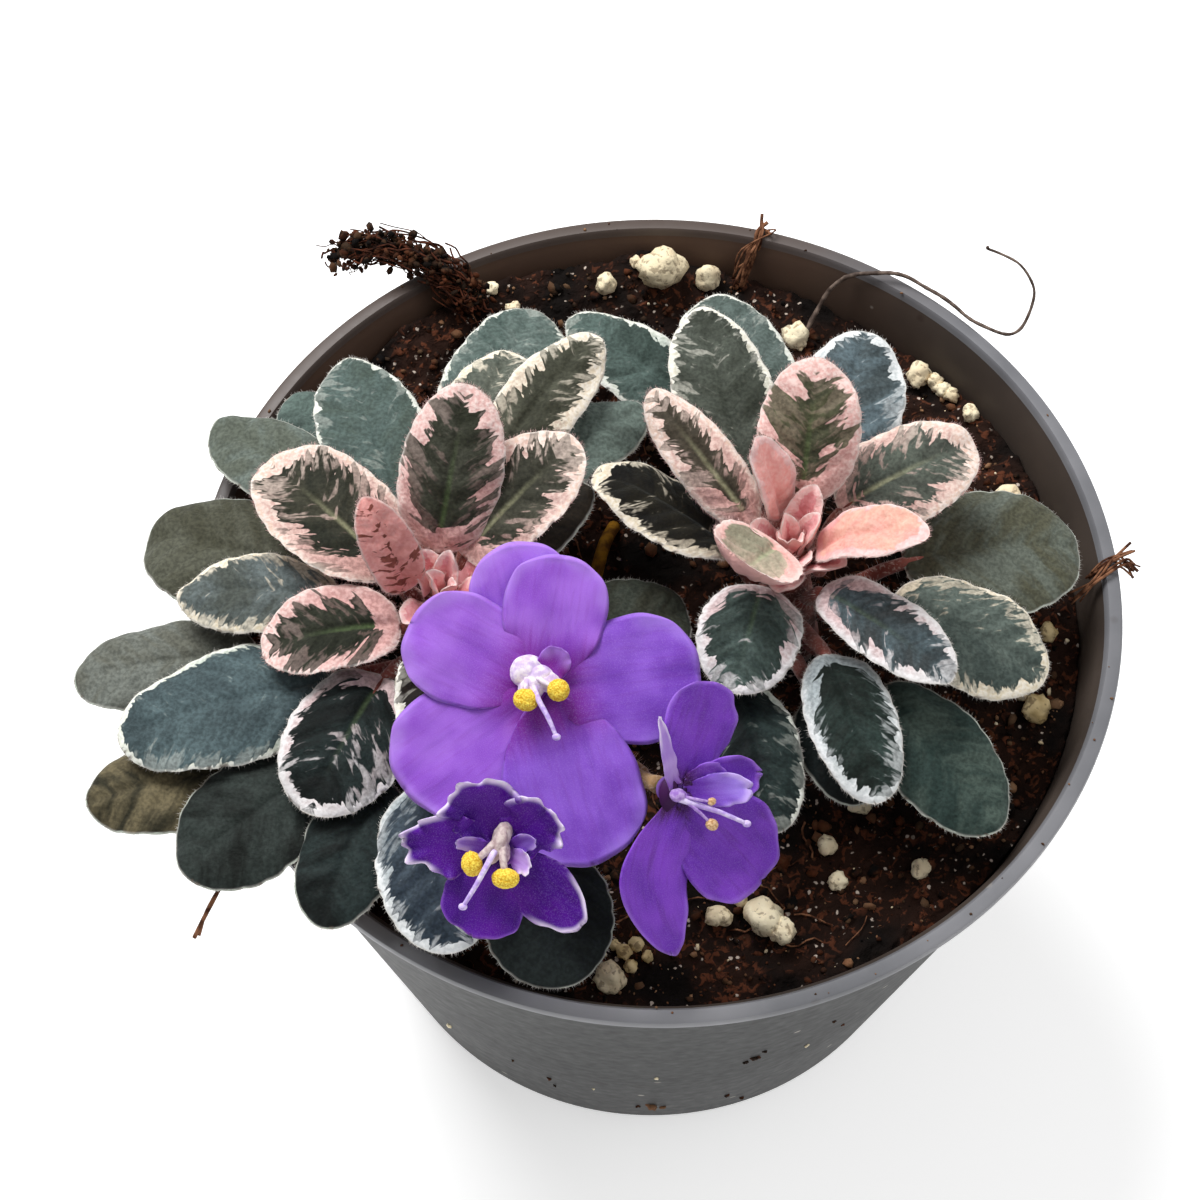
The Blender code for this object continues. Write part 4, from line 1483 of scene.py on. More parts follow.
@dataclass
class Leaf:
    """One leaf: a downy petiole and a velvety blade with sunken veins and a scalloped margin."""

    look: LeafLook
    cage: Cage
    number: int
    name: str = ""
    node: str = ""
    tones: tuple[str, str] = ("d68489", "e3a2a4")
    wave: float = 0.3
    cells: int = 40
    thickness: float = 0.9
    petiole: float = 0.85
    hairs: int = 260
    side_veins: float = 6.5
    vein_slant: float = 0.62
    quilting: float = 0.42
    rib_depth: float = 0.6
    teeth: int = 11

    def build(self) -> None:
        """Makes the leaf as one piece."""
        finish = self.look.value
        young = finish.slot in ("leaf_pink", "leaf_young")
        self.grow(Piece(self.name, [finish, PETIOLE_WITH_SHADE, PINK_HAIR if young else PALE_HAIR]), young)
        self.piece.finish(finish.slot, self.node)

    def grow(self, piece: Piece, young: bool) -> None:
        """Adds the blade, the petiole and the hairs to a piece.

        Args:
            piece: The piece that the leaf belongs to.
            young: Whether it is a young leaf, which has more hairs.
        """
        self.piece = piece
        self.rng = random.Random(100 + self.number)
        dark, light = (Vector(tint(code)) for code in self.tones)
        first = len(piece.bm.verts)
        piece.two_faces(self.cells, self.point, 2e-6)
        piece.bm.verts.ensure_lookup_table()
        for vert in piece.bm.verts[first:]:
            vert[piece.core_dark], vert[piece.core_light] = dark, light
        self.run_petiole()
        self.grow_hairs(1.2 if young else 1.0)

    def point(self, spot: DiscPlace, side: float) -> SkinPoint:
        """Shapes one point of the blade.

        Args:
            spot: Its place on the round disc that the blade comes from.
            side: 1 for the upper face, -1 for the lower one, 0 for between them.

        Returns:
            The finished point.
        """
        cage = self.cage
        t, u, r = spot.along, spot.sideways, spot.out
        middle, across, up = cage.at(t)
        half = cage.half / MM * oval(t)
        length = cage.length / MM
        out = abs(u) * half
        slant = t * length - self.vein_slant * out * (1 + 0.05 * out)
        inset = spot.inset(cage.half / MM, length / 2)

        phase = (slant / (length / self.side_veins) + 0.13 * self.number) % 1.0
        puff = math.sin(math.pi * phase) ** 0.6 - 0.6
        fade = smooth(0.1, 2.2, inset) * smooth(0.15, 1.3, out)
        relief = self.quilting * puff * fade
        rib = math.exp(-((out / 0.55) ** 2)) * (1 - 0.75 * t) * smooth(0.0, 0.1, t)
        relief -= self.rib_depth * rib
        seed = Vector((self.number * 7.1, 0.0, 0.0))
        relief += 0.16 * noise.noise(Vector((u * half * 0.55, t * length * 0.55, 0)) + seed)

        depth = self.thickness / 2 * math.sqrt(max(0.0, 1 - r**5))
        raised = self.lift(spot) + side * depth + relief * (1.0 if side > 0 else 0.8)
        tooth = abs(math.sin(spot.angle * self.teeth + self.number))
        scallop = 1 + 0.03 * (tooth - 0.5) * smooth(0.8, 1.0, r)
        return SkinPoint(
            middle + across * (u * half * scallop * MM) + up * (raised * MM),
            Vector((slant, u * half, inset)),
            Vector((float(self.number), 1.0 if side < 0 else 0.0, t)), puff * fade,
        )

    def lift(self, spot: DiscPlace) -> float:
        """How far the blade's bend and the waves of its margin raise a point.

        Args:
            spot: The point's place on the disc.

        Returns:
            The height in millimetres.
        """
        lift = self.cage.cup / MM * oval(spot.along) * spot.sideways * spot.sideways
        if self.look is LeafLook.CUPPED:
            lift = 1.9 * spot.out**2.2
        sway = math.sin(spot.angle * 4 + self.number * 1.7)
        sway += 0.6 * math.sin(spot.angle * 7 + self.number)
        return lift + self.wave * sway * smooth(0.45, 1.0, spot.out)

    def run_petiole(self) -> None:
        """Sweeps the petiole from the stem to the blade, where it thins out along the midrib."""
        cage = self.cage
        bends = 12
        points = through(cage.stalk, bends)
        swell = [0.85 + 0.2 * math.sin(math.pi * k / bends) for k in range(bends + 1)]
        radii = [self.petiole * MM * share for share in swell]
        _, _, up = cage.at(0.0)
        points[-1] = points[-1] - up * (self.petiole * 0.9 * MM)
        points[-2] = points[-2] - up * (self.petiole * 0.45 * MM)
        self.path = list(points)
        for t, share in ((0.1, 0.75), (0.22, 0.55), (0.36, 0.4), (0.5, 0.25)):
            middle, _, up = cage.at(t)
            points.append(middle - up * ((self.petiole * share + self.thickness * 0.3) * MM))
            radii.append(self.petiole * share * MM)
        self.piece.tube(points, radii, 10, 1)

    def grow_hairs(self, plenty: float) -> None:
        """Sets short hairs round the margin and along the petiole.

        Args:
            plenty: How many times the usual number of hairs there are round the margin.
        """
        rng = self.rng
        for _ in range(round(self.hairs * plenty)):
            angle = rng.uniform(-0.45 * math.pi, 1.45 * math.pi)
            x, y = math.cos(angle) * 0.995, math.sin(angle) * 0.995
            root = self.point(DiscPlace(x, y), 0.0).place
            inner = self.point(DiscPlace(x * 0.9, y * 0.9), 0.0).place
            _, _, up = self.cage.at((y + 1) / 2)
            stray = scatter(rng) * 0.35
            ahead = (root - inner).normalized() + up * rng.uniform(-0.1, 0.5) + stray
            length = rng.uniform(0.22, 0.62) * MM
            self.piece.hair(root, ahead.normalized(), length, rng.uniform(0.016, 0.028) * MM, 2)
        count = round(self.hairs * 0.25)
        self.piece.down(rng, self.path, count, (0.5, 1.1, 0.02), self.petiole * 0.9, 0.1)


@dataclass(frozen=True)
class LeafPlan:
    """How one leaf differs from the rest.

    It has the two colours of its core, its pattern and how much its margin waves. Its blade runs
    back down the petiole, in millimetres, is so much broader and ends at a share of the solid.
    """

    dark: str
    light: str
    look: LeafLook = LeafLook.PLAIN
    wave: float = 0.3
    back: float = 1.2
    broad: float = 1.0
    end: float = 1.0


@dataclass
class Crown:
    """One plant: its stem with the heart leaves, and its leaves from the lowest to the youngest."""

    side: str
    leaves: tuple[LeafPlan, ...]
    heart: tuple[tuple[float, ...], ...]
    first_number: int
    stem_depth: float = 8.0
    stem_hairs: int = 260

    def __post_init__(self) -> None:
        """Finds the stem's axis from the foot of its solid."""
        self.stem = f"{self.side}_crown_stem"
        points = [vert.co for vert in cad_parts[self.stem].data.vertices]
        lowest = min(point.z for point in points)
        foot = [point for point in points if point.z < lowest + 0.1 * MM]
        self.axis = mean(foot) + UP * (self.stem_depth * MM)

    def build(self) -> None:
        """Makes the stem and every leaf."""
        self.dress_stem()
        for k, plan in enumerate(self.leaves, start=1):
            node = f"{self.side}_leaf_{k:02d}"
            cage = BladeCage(
                node=node, axis=self.axis, reach_back=plan.back, broaden=plan.broad, end=plan.end,
            )
            leaf = Leaf(
                plan.look, cage, self.first_number + k, name=f"{self.side}_violet_leaf_{k:02d}",
                node=node, tones=(plan.dark, plan.light), wave=plan.wave,
            )
            leaf.build()

    def dress_stem(self) -> None:
        """Makes the stem, with the furry heart leaves that grow from its top."""
        rng = random.Random(self.first_number)
        looks = [LeafLook.SALMON.value, PETIOLE_WITH_SHADE, PINK_HAIR, CROWN_SKIN]
        piece = Piece(f"{self.side}_crown_heart", looks)
        foot = self.axis - UP * (self.stem_depth * MM)
        line = [foot + UP * (k * 1.65 * MM) for k in range(13)]
        radii = [(4.3 - 0.2 * k) * MM * (1 + 0.05 * math.sin(k * 2.2)) for k in range(13)]
        piece.tube(line, radii, 28, looks.index(CROWN_SKIN))
        for _ in range(self.stem_hairs):
            turn = rng.uniform(0, math.tau)
            out = Vector((math.cos(turn), math.sin(turn), rng.uniform(-0.2, 0.6))).normalized()
            height = rng.uniform(4.0, 20.0)
            root = foot + UP * (height * MM) + out * ((4.2 - 0.12 * height) * MM)
            piece.hair(root, out, rng.uniform(0.6, 1.3) * MM, 0.024 * MM, 2)
        for k, sizes in enumerate(self.heart):
            leaf = Leaf(
                LeafLook.SALMON, SketchedCage(120, self.axis - UP * (4.0 * MM), *sizes),
                self.first_number + 70 + k, wave=0.15, cells=22, petiole=0.6, thickness=0.7,
                hairs=90,
            )
            leaf.grow(piece, True)
        piece.finish("stem_skin", self.stem)


# ---- flowers


@dataclass(frozen=True)
class Petal:
    """One petal, laid out on its flower's face: lengths in millimetres, angles in degrees.

    It points in a direction, reaches so far from the middle and is so wide; its tip lifts, its
    sides fold up, its margin ruffles, and its layer orders it over its neighbours. A blunt
    petal is broad at its tip; a keen one is pointed.
    """

    direction: float
    reach: float
    width: float
    lift: float = 0.5
    fold: float = 0.3
    ruffle: float = 0.3
    layer: float = 0.0
    fullest: float = 0.6
    keen: float = 2.3
    bend: float = 0.0
    look: PetalFinish | None = None


def lumpy(offset: Vector, spot: Vector) -> float:
    """How far a point of a mound of filaments is swollen."""
    return 1 + 0.09 * noise.noise(spot * 1.6 + offset) + 0.02 * noise.noise(spot * 4.5 + offset)


def grainy(offset: Vector, spot: Vector) -> float:
    """How far a point of a pollen sac is swollen, with the sac's cleft."""
    cleft = -0.06 * math.exp(-((spot.y / 0.18) ** 2)) * smooth(-0.2, 0.6, spot.z)
    return 1 + 0.05 * noise.noise(spot * 5.5 + offset) + 0.05 * noise.noise(spot * 11) + cleft


@dataclass
class Flower:
    """One flower: petals round a throat, cream filaments, two pollen sacs, a style and a calyx."""

    number: int
    look: PetalFinish
    petals: tuple[Petal, ...]
    azimuth: float
    elevation: float
    mounds: tuple[tuple[float, ...], ...]
    sacs: tuple[tuple[float, ...], ...]
    style: tuple[Triple, ...]
    sac_look: PlainFinish = ANTHER
    mound_look: PlainFinish = FILAMENT
    filament: float = 0.5
    calyx: float = 1.0
    cells: int = 26
    thickness: float = 0.4
    tube: tuple[float, ...] = (2.3, 1.9, 1.5, 1.3)
    crown: Triple = (-23.0, -9.0, 75.0)
    stalk_radius: float = 0.72
    stalk_hairs: int = 260

    def __post_init__(self) -> None:
        """Finds the face's middle and turn, and the stalk's line, from the solids."""
        self.name = f"flower_{self.number}"
        stalk = f"{self.name}_stalk"
        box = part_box(f"{self.name}_corolla")
        levels = cage_levels(stalk, Vector(self.crown) * MM)
        self.stalk = [levels[0][0], *[mean(ring) for ring in levels[1:-1]], levels[-1][0]]
        if (self.stalk[0] - mean(box)).length < (self.stalk[-1] - mean(box)).length:
            self.stalk.reverse()
        turn, rise = math.radians(self.azimuth), math.radians(self.elevation)
        level = Vector((math.cos(turn), math.sin(turn), 0.0))
        self.look_way = level * math.cos(rise) + UP * math.sin(rise)
        self.back = self.stalk[-1] + self.look_way * (0.3 * MM)
        self.centre = self.stalk[-1] + self.look_way * (2.6 * MM)
        self.turn = self.look_way.to_track_quat("Z", "Y").to_matrix()

    def face(self, x: float, y: float, z: float) -> Vector:
        """Turns a place on the flower's face, in millimetres, to the shared frame in metres."""
        return self.centre + self.turn @ Vector((x, y, z)) * MM

    def build(self) -> None:
        """Makes the petals, the middle and the stalk."""
        self.make_petals()
        self.make_middle()
        self.make_stalk()

    def make_petals(self) -> None:
        """Shapes the petals, with the tube behind them."""
        looks = [self.look]
        for petal in self.petals:
            if petal.look and petal.look not in looks:
                looks.append(petal.look)
        piece = Piece(f"{self.name}_petals", looks)
        for k, petal in enumerate(self.petals):
            index = looks.index(petal.look or self.look)
            piece.two_faces(self.cells, partial(self.shape, petal, k), 1e-6, index)
        line = [*(self.face(0, 0, z) for z in (-0.1, -0.8, -1.5)), self.back]
        piece.tube(line, [radius * MM for radius in self.tube], 20)
        piece.finish("petal", f"{self.name}_corolla")

    def shape(self, petal: Petal, k: int, spot: DiscPlace, side: float) -> SkinPoint:
        """Shapes one point of a petal.

        Args:
            petal: The petal.
            k: Its number in the flower.
            spot: The point's place on the round disc that the petal comes from.
            side: 1 for the front, -1 for the back.

        Returns:
            The finished point.
        """
        t, u, r = spot.along, spot.sideways, spot.out
        power = math.log(0.5) / math.log(petal.fullest)
        body = max(0.0, 1 - abs(2 * t**power - 1) ** petal.keen) ** 0.5
        neck = 1.5 * smooth(0.45, 0.0, t) * math.sqrt(max(0.0, min(1.0, t * 14)))
        half = max(petal.width / 2 * body, min(neck, petal.width / 2))
        start = 0.5
        along = start + t * (petal.reach - start)
        skin = Vector((u * half, along, spot.inset(petal.width / 2, petal.reach / 2)))
        phase = self.number * 2.3 + k * 1.9

        lift = petal.lift * t * t + petal.fold * u * u * t + petal.layer * smooth(0.05, 0.35, t)
        frill = math.sin(spot.angle * 7 + phase) + 0.7 * math.sin(spot.angle * 12 + phase * 2)
        lift += petal.ruffle * 0.5 * frill * r**5
        lift += 0.35 * noise.noise(Vector((along * 0.22, u * half * 0.3, phase)))
        groove = math.exp(-((u * half / 0.7) ** 2)) * 0.1 * (1 - t)
        depth = self.thickness / 2 * math.sqrt(max(0.0, 1 - r**4))

        jag = math.sin(spot.angle * 7 + phase) + 0.8 * math.sin(spot.angle * 12 + 2 * phase)
        across = u * half * (1 + 0.03 * petal.ruffle * jag * r**6)
        along += 0.2 * petal.ruffle * jag * r**6 * max(0.0, math.sin(spot.angle))
        across -= petal.bend * math.sin(math.pi * t) ** 1.2
        way = math.radians(petal.direction)
        place = self.face(
            along * math.cos(way) - across * math.sin(way),
            along * math.sin(way) + across * math.cos(way), lift - groove + side * depth,
        )
        traits = Vector((float(self.number * 7 + k), 1.0 if side < 0 else 0.0, t))
        return SkinPoint(place, skin, traits)

    def make_middle(self) -> None:
        """The mound of filaments, the pollen sacs on their bent filaments, and the style."""
        rng = random.Random(self.number)
        piece = Piece(f"{self.name}_middle", [self.mound_look, self.sac_look, STYLE])
        for x, y, z, long, wide, high, heading in self.mounds:
            offset = Vector((rng.random(), rng.random(), rng.random())) * 30
            ball = (Vector((x, y, z)), Vector((long, wide, high)), heading)
            self.add_ball(piece, 0, ball, partial(lumpy, offset))
        start = Vector(self.mounds[0][:3])
        for x, y, z, long, wide, heading in self.sacs:
            end = Vector((x, y, z))
            knee = (start + end) / 2 + Vector((0.0, 0.0, 0.6))
            line = through([self.face(*point) for point in (start, knee, end)], 10)
            width = min(self.filament, long * 0.4)
            piece.tube(line, [width * (1 - 0.04 * k) * MM for k in range(11)], 10)
            ball = (end, Vector((long, wide, wide * 0.85)), heading)
            self.add_ball(piece, 1, ball, partial(grainy, end * 3.7))
        line = through([self.face(*point) for point in self.style], 16)
        piece.tube(line, [(0.36 - 0.009 * k) * MM for k in range(17)], 10, 2)
        knob = bmesh.ops.create_icosphere(
            piece.bm, subdivisions=3, radius=0.42 * MM,
            matrix=Matrix.Translation(line[-1]) @ Matrix.Diagonal((1.1, 0.9, 0.9, 1.0)),
        )["verts"]
        piece.paint(knob, 2)
        piece.finish("anther", f"{self.name}_stamens")

    def add_ball(
        self, piece: Piece, index: int, ball: tuple[Vector, Vector, float],
        swell: Callable[[Vector], float],
    ) -> None:
        """Adds a stretched and swollen ball to the flower's middle.

        Args:
            piece: The middle's piece.
            index: The finish that the ball uses.
            ball: Its place on the flower's face, its three half lengths and its turn in degrees.
            swell: How far a point of the ball is swollen.
        """
        middle, stretch, heading = ball
        turn = Matrix.Rotation(math.radians(heading), 3, "Z")
        made = bmesh.ops.create_icosphere(piece.bm, subdivisions=5, radius=1.0)["verts"]
        for vert in made:
            vert.co = self.face(*(turn @ (vert.co * stretch * swell(vert.co)) + middle))
        piece.paint(made, index)

    def make_stalk(self) -> None:
        """The downy flower stalk with five narrow sepals that hold the tube."""
        rng = random.Random(40 + self.number)
        piece = Piece(f"{self.name}_downy_stalk", [FLOWER_STALK, SEPAL, BROWN_HAIR])
        foot = self.stalk[-1] - self.look_way * (1.2 * MM)
        line = through([*self.stalk[:-1], foot], 40)
        radii = [self.stalk_radius * MM * (1 + 0.15 * math.cos(k / 6)) for k in range(38)]
        radii += [(self.stalk_radius + swell * self.calyx) * MM for swell in (0.15, 0.35, 0.5)]
        piece.tube(line, radii, 12)
        for k in range(5):
            self.add_sepal(piece, foot, math.tau * (k + 0.5) / 5)
        piece.down(rng, line[:-1], self.stalk_hairs, (0.5, 1.2, 0.022), 0.65)
        piece.finish("stem_skin", f"{self.name}_stalk")

    def add_sepal(self, piece: Piece, foot: Vector, around: float) -> None:
        """Adds one narrow sepal.

        Args:
            piece: The stalk's piece.
            foot: The end of the stalk.
            around: The sepal's angle round the stalk.
        """
        out = self.turn @ Vector((math.cos(around), math.sin(around), 0))
        side = self.look_way.cross(out)
        verts = piece.grid(8, 10, 1)
        for vert in verts:
            x, t = vert.co.x, (vert.co.y + 1) / 2
            broad = 0.95 * math.sin(math.pi * min(1.0, 0.2 + t * 0.8)) ** 0.8 + 0.03
            place = out * (0.8 + 0.85 * math.sin(t * 1.6) - 0.25 * x * x) + side * (x * broad)
            vert.co = foot + (place * self.calyx + self.look_way * (t * 2.7 * self.calyx)) * MM
        own = set(verts)
        faces = [face for face in piece.bm.faces if face.verts[0] in own]
        grown = bmesh.ops.solidify(piece.bm, geom=faces, thickness=0.25 * MM)
        for face in (item for item in grown["geom"] if isinstance(item, bmesh.types.BMFace)):
            face.material_index = 1


# ---- loose bits


class StuckCrumb(Enum):
    """What sticks to the pot's wall: how light it is, and which of the piece's finishes it has."""

    PEAT = (0.05, 0)
    BARK = (0.6, 0)
    PERLITE = (0.9, 1)


PEAT, BARK, STONE = StuckCrumb


@dataclass(frozen=True)
class Wisp:
    """A bundle of fibres: how many there are, how far they stray and their route in millimetres."""

    strands: int
    spread: float
    route: tuple[Triple, ...]


@dataclass
class LooseBits:
    """What lies on the rim and on the mix: a coir tuft, a thread root, fibres and a twig.

    Each stuck crumb has its angle in degrees, its height and its size in millimetres.
    """

    pot: NurseryPot
    seed: int = 21
    tuft_fibres: int = 130
    tuft_crumbs: int = 620
    rim_crumbs: int = 34
    stuck: tuple[tuple[float, float, float, StuckCrumb], ...] = (
        (-72.7, 37.5, 0.75, PEAT), (-106.4, 19.0, 0.5, PEAT), (-88.1, 10.2, 0.85, BARK),
        (-85.8, 8.8, 0.6, BARK), (-90.5, 9.4, 0.4, PEAT), (-73.9, 11.5, 0.5, PEAT),
        (-63.4, 33.0, 0.35, STONE), (-87.6, 31.5, 0.35, STONE), (-61.5, 44.2, 0.35, PEAT),
        (-73.7, 67.2, 0.35, PEAT), (-98.3, 19.2, 0.3, STONE), (-112.4, 23.0, 0.3, PEAT),
        (-73.9, 36.0, 0.5, PEAT), (-71.7, 40.5, 0.4, PEAT), (-105.8, 14.5, 0.35, PEAT),
        (-57.8, 36.2, 0.3, PEAT), (-70.2, 5.8, 0.35, PEAT), (-125.6, 21.5, 0.5, STONE),
        (62.0, 30.0, 0.4, PEAT), (64.5, 28.5, 0.3, PEAT), (118.0, 55.0, 0.5, PEAT),
        (171.0, 18.0, 0.4, PEAT), (8.0, 48.0, 0.4, PEAT),
    )
    dry_stalk: tuple[Triple, ...] = (
        (-7.6, 0.5, 64.5), (-7.3, 3.5, 67.2), (-6.4, 8.0, 68.0), (-5.4, 12.5, 65.0),
    )
    wisps: tuple[Wisp, ...] = (
        Wisp(7, 0.4, ((47.0, 1.5, 70.5), (49.5, 3.0, 72.4), (52.0, 5.4, 72.7), (54.2, 4.6, 72.3))),
        Wisp(4, 0.3, ((49.0, 4.5, 71.0), (51.0, 5.5, 72.6), (53.6, 7.0, 72.6))),
        Wisp(9, 0.6, ((8.6, 46, 68), (10, 48.4, 70.8), (11, 50.4, 72.6), (11.6, 51.2, 72.9))),
        Wisp(2, 0.2, ((-40, -30, 70), (-45, -36, 70.6), (-47.3, -39.8, 69.6), (-48.6, -42, 67.2))),
    )

    def build(self) -> None:
        """Makes every loose bit."""
        self.thread_root()
        self.coir_tuft()
        self.rim_bits()
        self.stuck_crumbs()

    def stuck_crumbs(self) -> None:
        """Crumbs of peat, bark and perlite that stick to the outside of the wall."""
        rng = random.Random(self.seed + 3)
        piece = Piece("stuck_crumbs", [PEAT_CRUMB, PERLITE])
        for azimuth, height, size, kind in self.stuck:
            tone, index = kind.value
            reach = self.pot.wall_radius(height) + 0.05 * size
            for k in range(4):
                turn = rng.uniform(-0.8, 0.8) * size * (0.02 if k else 0.0)
                angle = math.radians(azimuth) + turn
                rise = height + rng.uniform(-0.9, 0.9) * size * (1.0 if k else 0.0)
                place = Vector((reach * math.cos(angle), reach * math.sin(angle), rise))
                part = size * (rng.uniform(0.3, 0.6) if k else 0.75)
                add_lump(piece, rng, place, part, tone, index)
        piece.finish("fibre")

    def thread_root(self) -> None:
        """The thin curling root, swept again along its solid's middle."""
        levels = cage_levels("thread_root", Vector((17.0, 40.5, 66.6)) * MM)
        rng = random.Random(self.seed)
        line = through([mean(ring) for ring in levels], 90)
        piece = Piece("curling_thread_root", [ROOT])
        kinked = []
        for point in line:
            wander = Vector((noise.noise(point * 260), noise.noise(point * 260 + UP * 9), 0.0))
            kinked.append(point + wander * (0.35 * MM))
        radii = [(0.3 - 0.0016 * k) * MM * (1 + 0.12 * rng.uniform(-1, 1)) for k in range(91)]
        piece.tube(kinked, radii, 8)
        piece.finish("fibre", "thread_root")

    def coir_tuft(self) -> None:
        """A matted tuft of coir and crumbs that hangs together over the rim."""
        rng = random.Random(self.seed + 1)
        levels = cage_levels("coir_tuft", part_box("coir_tuft")[1])
        spine = [mean(ring) for ring in levels]
        piece = Piece("matted_coir_tuft", [DARK_COIR, PEAT_CRUMB])
        for _ in range(self.tuft_fibres):
            start = rng.uniform(-0.1, 0.8)
            span = rng.uniform(0.15, 0.5)
            offset = drift(rng) * (0.85 * MM)
            points = []
            for k in range(7):
                place = max(0.0, min(0.999, start + span * k / 6)) * (len(spine) - 1)
                base = spine[int(place)].lerp(spine[int(place) + 1], place % 1.0)
                offset += drift(rng) * (0.42 * MM)
                offset.z *= 0.85
                points.append(base + offset)
            width = rng.uniform(0.05, 0.16) * MM
            piece.tube(through(points, 12), [width] * 13, 5)
        for _ in range(self.tuft_crumbs):
            place = rng.random() * (len(spine) - 1.01)
            base = spine[int(place)].lerp(spine[int(place) + 1], place % 1.0) / MM
            base += drift(rng, 0.95)
            size, tone = rng.uniform(0.22, 0.66), rng.random() ** 3 * 0.2
            add_lump(piece, rng, base, size, tone, 1)
        piece.finish("fibre", "coir_tuft")

    def rim_bits(self) -> None:
        """The wisps over the rim, a dry stalk between the crowns and crumbs on the flange."""
        rng = random.Random(self.seed + 2)
        piece = Piece("rim_fibres", [FIBRE, PEAT_CRUMB, DRY_STALK])
        dry = [Vector(point) * MM for point in self.dry_stalk]
        piece.tube(through(dry, 14), [0.75 * MM] * 15, 10, 2)
        for wisp in self.wisps:
            for _ in range(wisp.strands):
                points = [(Vector(point) + drift(rng, wisp.spread)) * MM for point in wisp.route]
                width = rng.uniform(0.1, 0.26) * MM
                piece.tube(through(points, 14), [width] * 15, 6)
        for _ in range(self.rim_crumbs):
            angle = rng.uniform(0, math.tau)
            reach = self.pot.radius - rng.uniform(0.4, 1.9)
            size = 0.1 + 0.18 * rng.random() ** 2
            rise = self.pot.height + size * 0.3
            place = Vector((reach * math.cos(angle), reach * math.sin(angle), rise))
            add_lump(piece, rng, place, size, rng.random(), 1)
        piece.finish("fibre")


# ---- studio


@dataclass
class Studio:
    """The pale floor, the soft lights and the camera."""

    view: Triple = (0.0, -0.17231, 0.36703)
    ahead: Triple = (-0.01902584, 0.50081042, -0.86534787)
    lens: float = 90.564
    aim: Triple = (0.0, 0.0, 0.07)

    def build(self) -> None:
        """Sets the whole studio."""
        self.lay_floor()
        self.hang_lights()
        self.set_camera()

    def lay_floor(self) -> None:
        """A plain pale floor under the pot."""
        bm = bmesh.new()
        bmesh.ops.create_grid(bm, x_segments=2, y_segments=2, size=4.0)
        mesh = bpy.data.meshes.new("studio_floor")
        bm.to_mesh(mesh)
        bm.free()
        s = Shader("pale_paper", 0.9)
        tone = s.noise(s.place(), 6.0, 2.0)
        s.skin.inputs["Emission Color"].default_value = (1.0, 1.0, 1.0, 1.0)
        s.skin.inputs["Emission Strength"].default_value = 0.5
        mesh.materials.append(s.colour(s.mix(tone, (0.86, 0.86, 0.86), (0.9, 0.9, 0.9))))
        floor = bpy.data.objects.new("studio_floor", mesh)
        bpy.context.scene.collection.objects.link(floor)

    def hang_lights(self) -> None:
        """A broad light above the back left, a weaker one at the right and a bright room."""
        lamps = (
            ("key_light", (-0.34, 0.42, 0.9), 0.6, 11.6),
            ("fill_light", (0.5, -0.1, 0.95), 0.6, 1.8),
        )
        for name, place, size, power in lamps:
            data = bpy.data.lights.new(name, "AREA")
            data.shape = "DISK"
            data.size = size
            data.energy = power
            lamp = bpy.data.objects.new(name, data)
            lamp.location = place
            aim = Vector(self.aim) - Vector(place)
            lamp.rotation_euler = aim.to_track_quat("-Z", "Y").to_euler()
            bpy.context.scene.collection.objects.link(lamp)
        world = bpy.data.worlds.new("bright_room")
        world.use_nodes = True
        room = world.node_tree.nodes["Background"]
        room.inputs["Color"].default_value = (1.0, 1.0, 1.0, 1.0)
        room.inputs["Strength"].default_value = 0.4
        bpy.context.scene.world = world
        bpy.context.scene.view_settings.view_transform = "Standard"

    def set_camera(self) -> None:
        """Places the camera and makes it the scene's own."""
        data = bpy.data.cameras.new("camera")
        data.lens = self.lens
        data.sensor_width = 36.0
        data.clip_start = 0.01
        camera = bpy.data.objects.new("camera", data)
        camera.location = self.view
        camera.rotation_euler = Vector(self.ahead).to_track_quat("-Z", "Y").to_euler()
        bpy.context.scene.collection.objects.link(camera)
        bpy.context.scene.camera = camera


# ---- this plant

# Each leaf's two core colours are set to how light it looks, so a leaf in shade has darker colours:
# partly its own tone, partly painted shade. The near-black 14th and 22nd leaves stand where there
# is only shade.
LEFT_LEAVES = (
    LeafPlan("485651", "566660"), LeafPlan("44534e", "5f6c67", LeafLook.SPECKED),
    LeafPlan("585950", "676b65"), LeafPlan("29271b", "645b44"),
    LeafPlan("161a19", "252c2b"), LeafPlan("37382d", "434940"),
    LeafPlan("3e3e31", "4f5044", wave=0.4),
    LeafPlan("555b51", "66706a"), LeafPlan("121613", "2b322f"), LeafPlan("0e1312", "232d2c"),
    LeafPlan("3a474a", "4d5d60", LeafLook.SPECKED, wave=0.35), LeafPlan("4c5650", "5f6c65"),
    LeafPlan("26303a", "3d4851", LeafLook.FROSTED, wave=0.35),
    LeafPlan("15110c", "231c14"), LeafPlan("445049", "4c5b57", LeafLook.SPECKED),
    LeafPlan("454a45", "5a6363", LeafLook.DASHED, wave=0.35),
    LeafPlan("060b0a", "1b2524", LeafLook.BLUSHED, wave=0.35),
    LeafPlan("474d45", "5c6056", LeafLook.DASHED), LeafPlan("34352a", "48493d", LeafLook.FLAMED),
    LeafPlan("1b1e14", "2f3127", LeafLook.ROSY, wave=0.2, broad=0.95),
    LeafPlan("22241b", "38372c", LeafLook.STREAKED, broad=0.9),
    LeafPlan("14100d", "241c17", LeafLook.FRAMED), LeafPlan("2f2f26", "434237", LeafLook.STREAKED),
    LeafPlan("292b20", "3f4036", LeafLook.ROSY, wave=0.25, back=2.2, broad=1.02),
    LeafPlan("532b25", "834b41", LeafLook.SPOTTED, wave=0.2, back=4.5, broad=0.92),
)
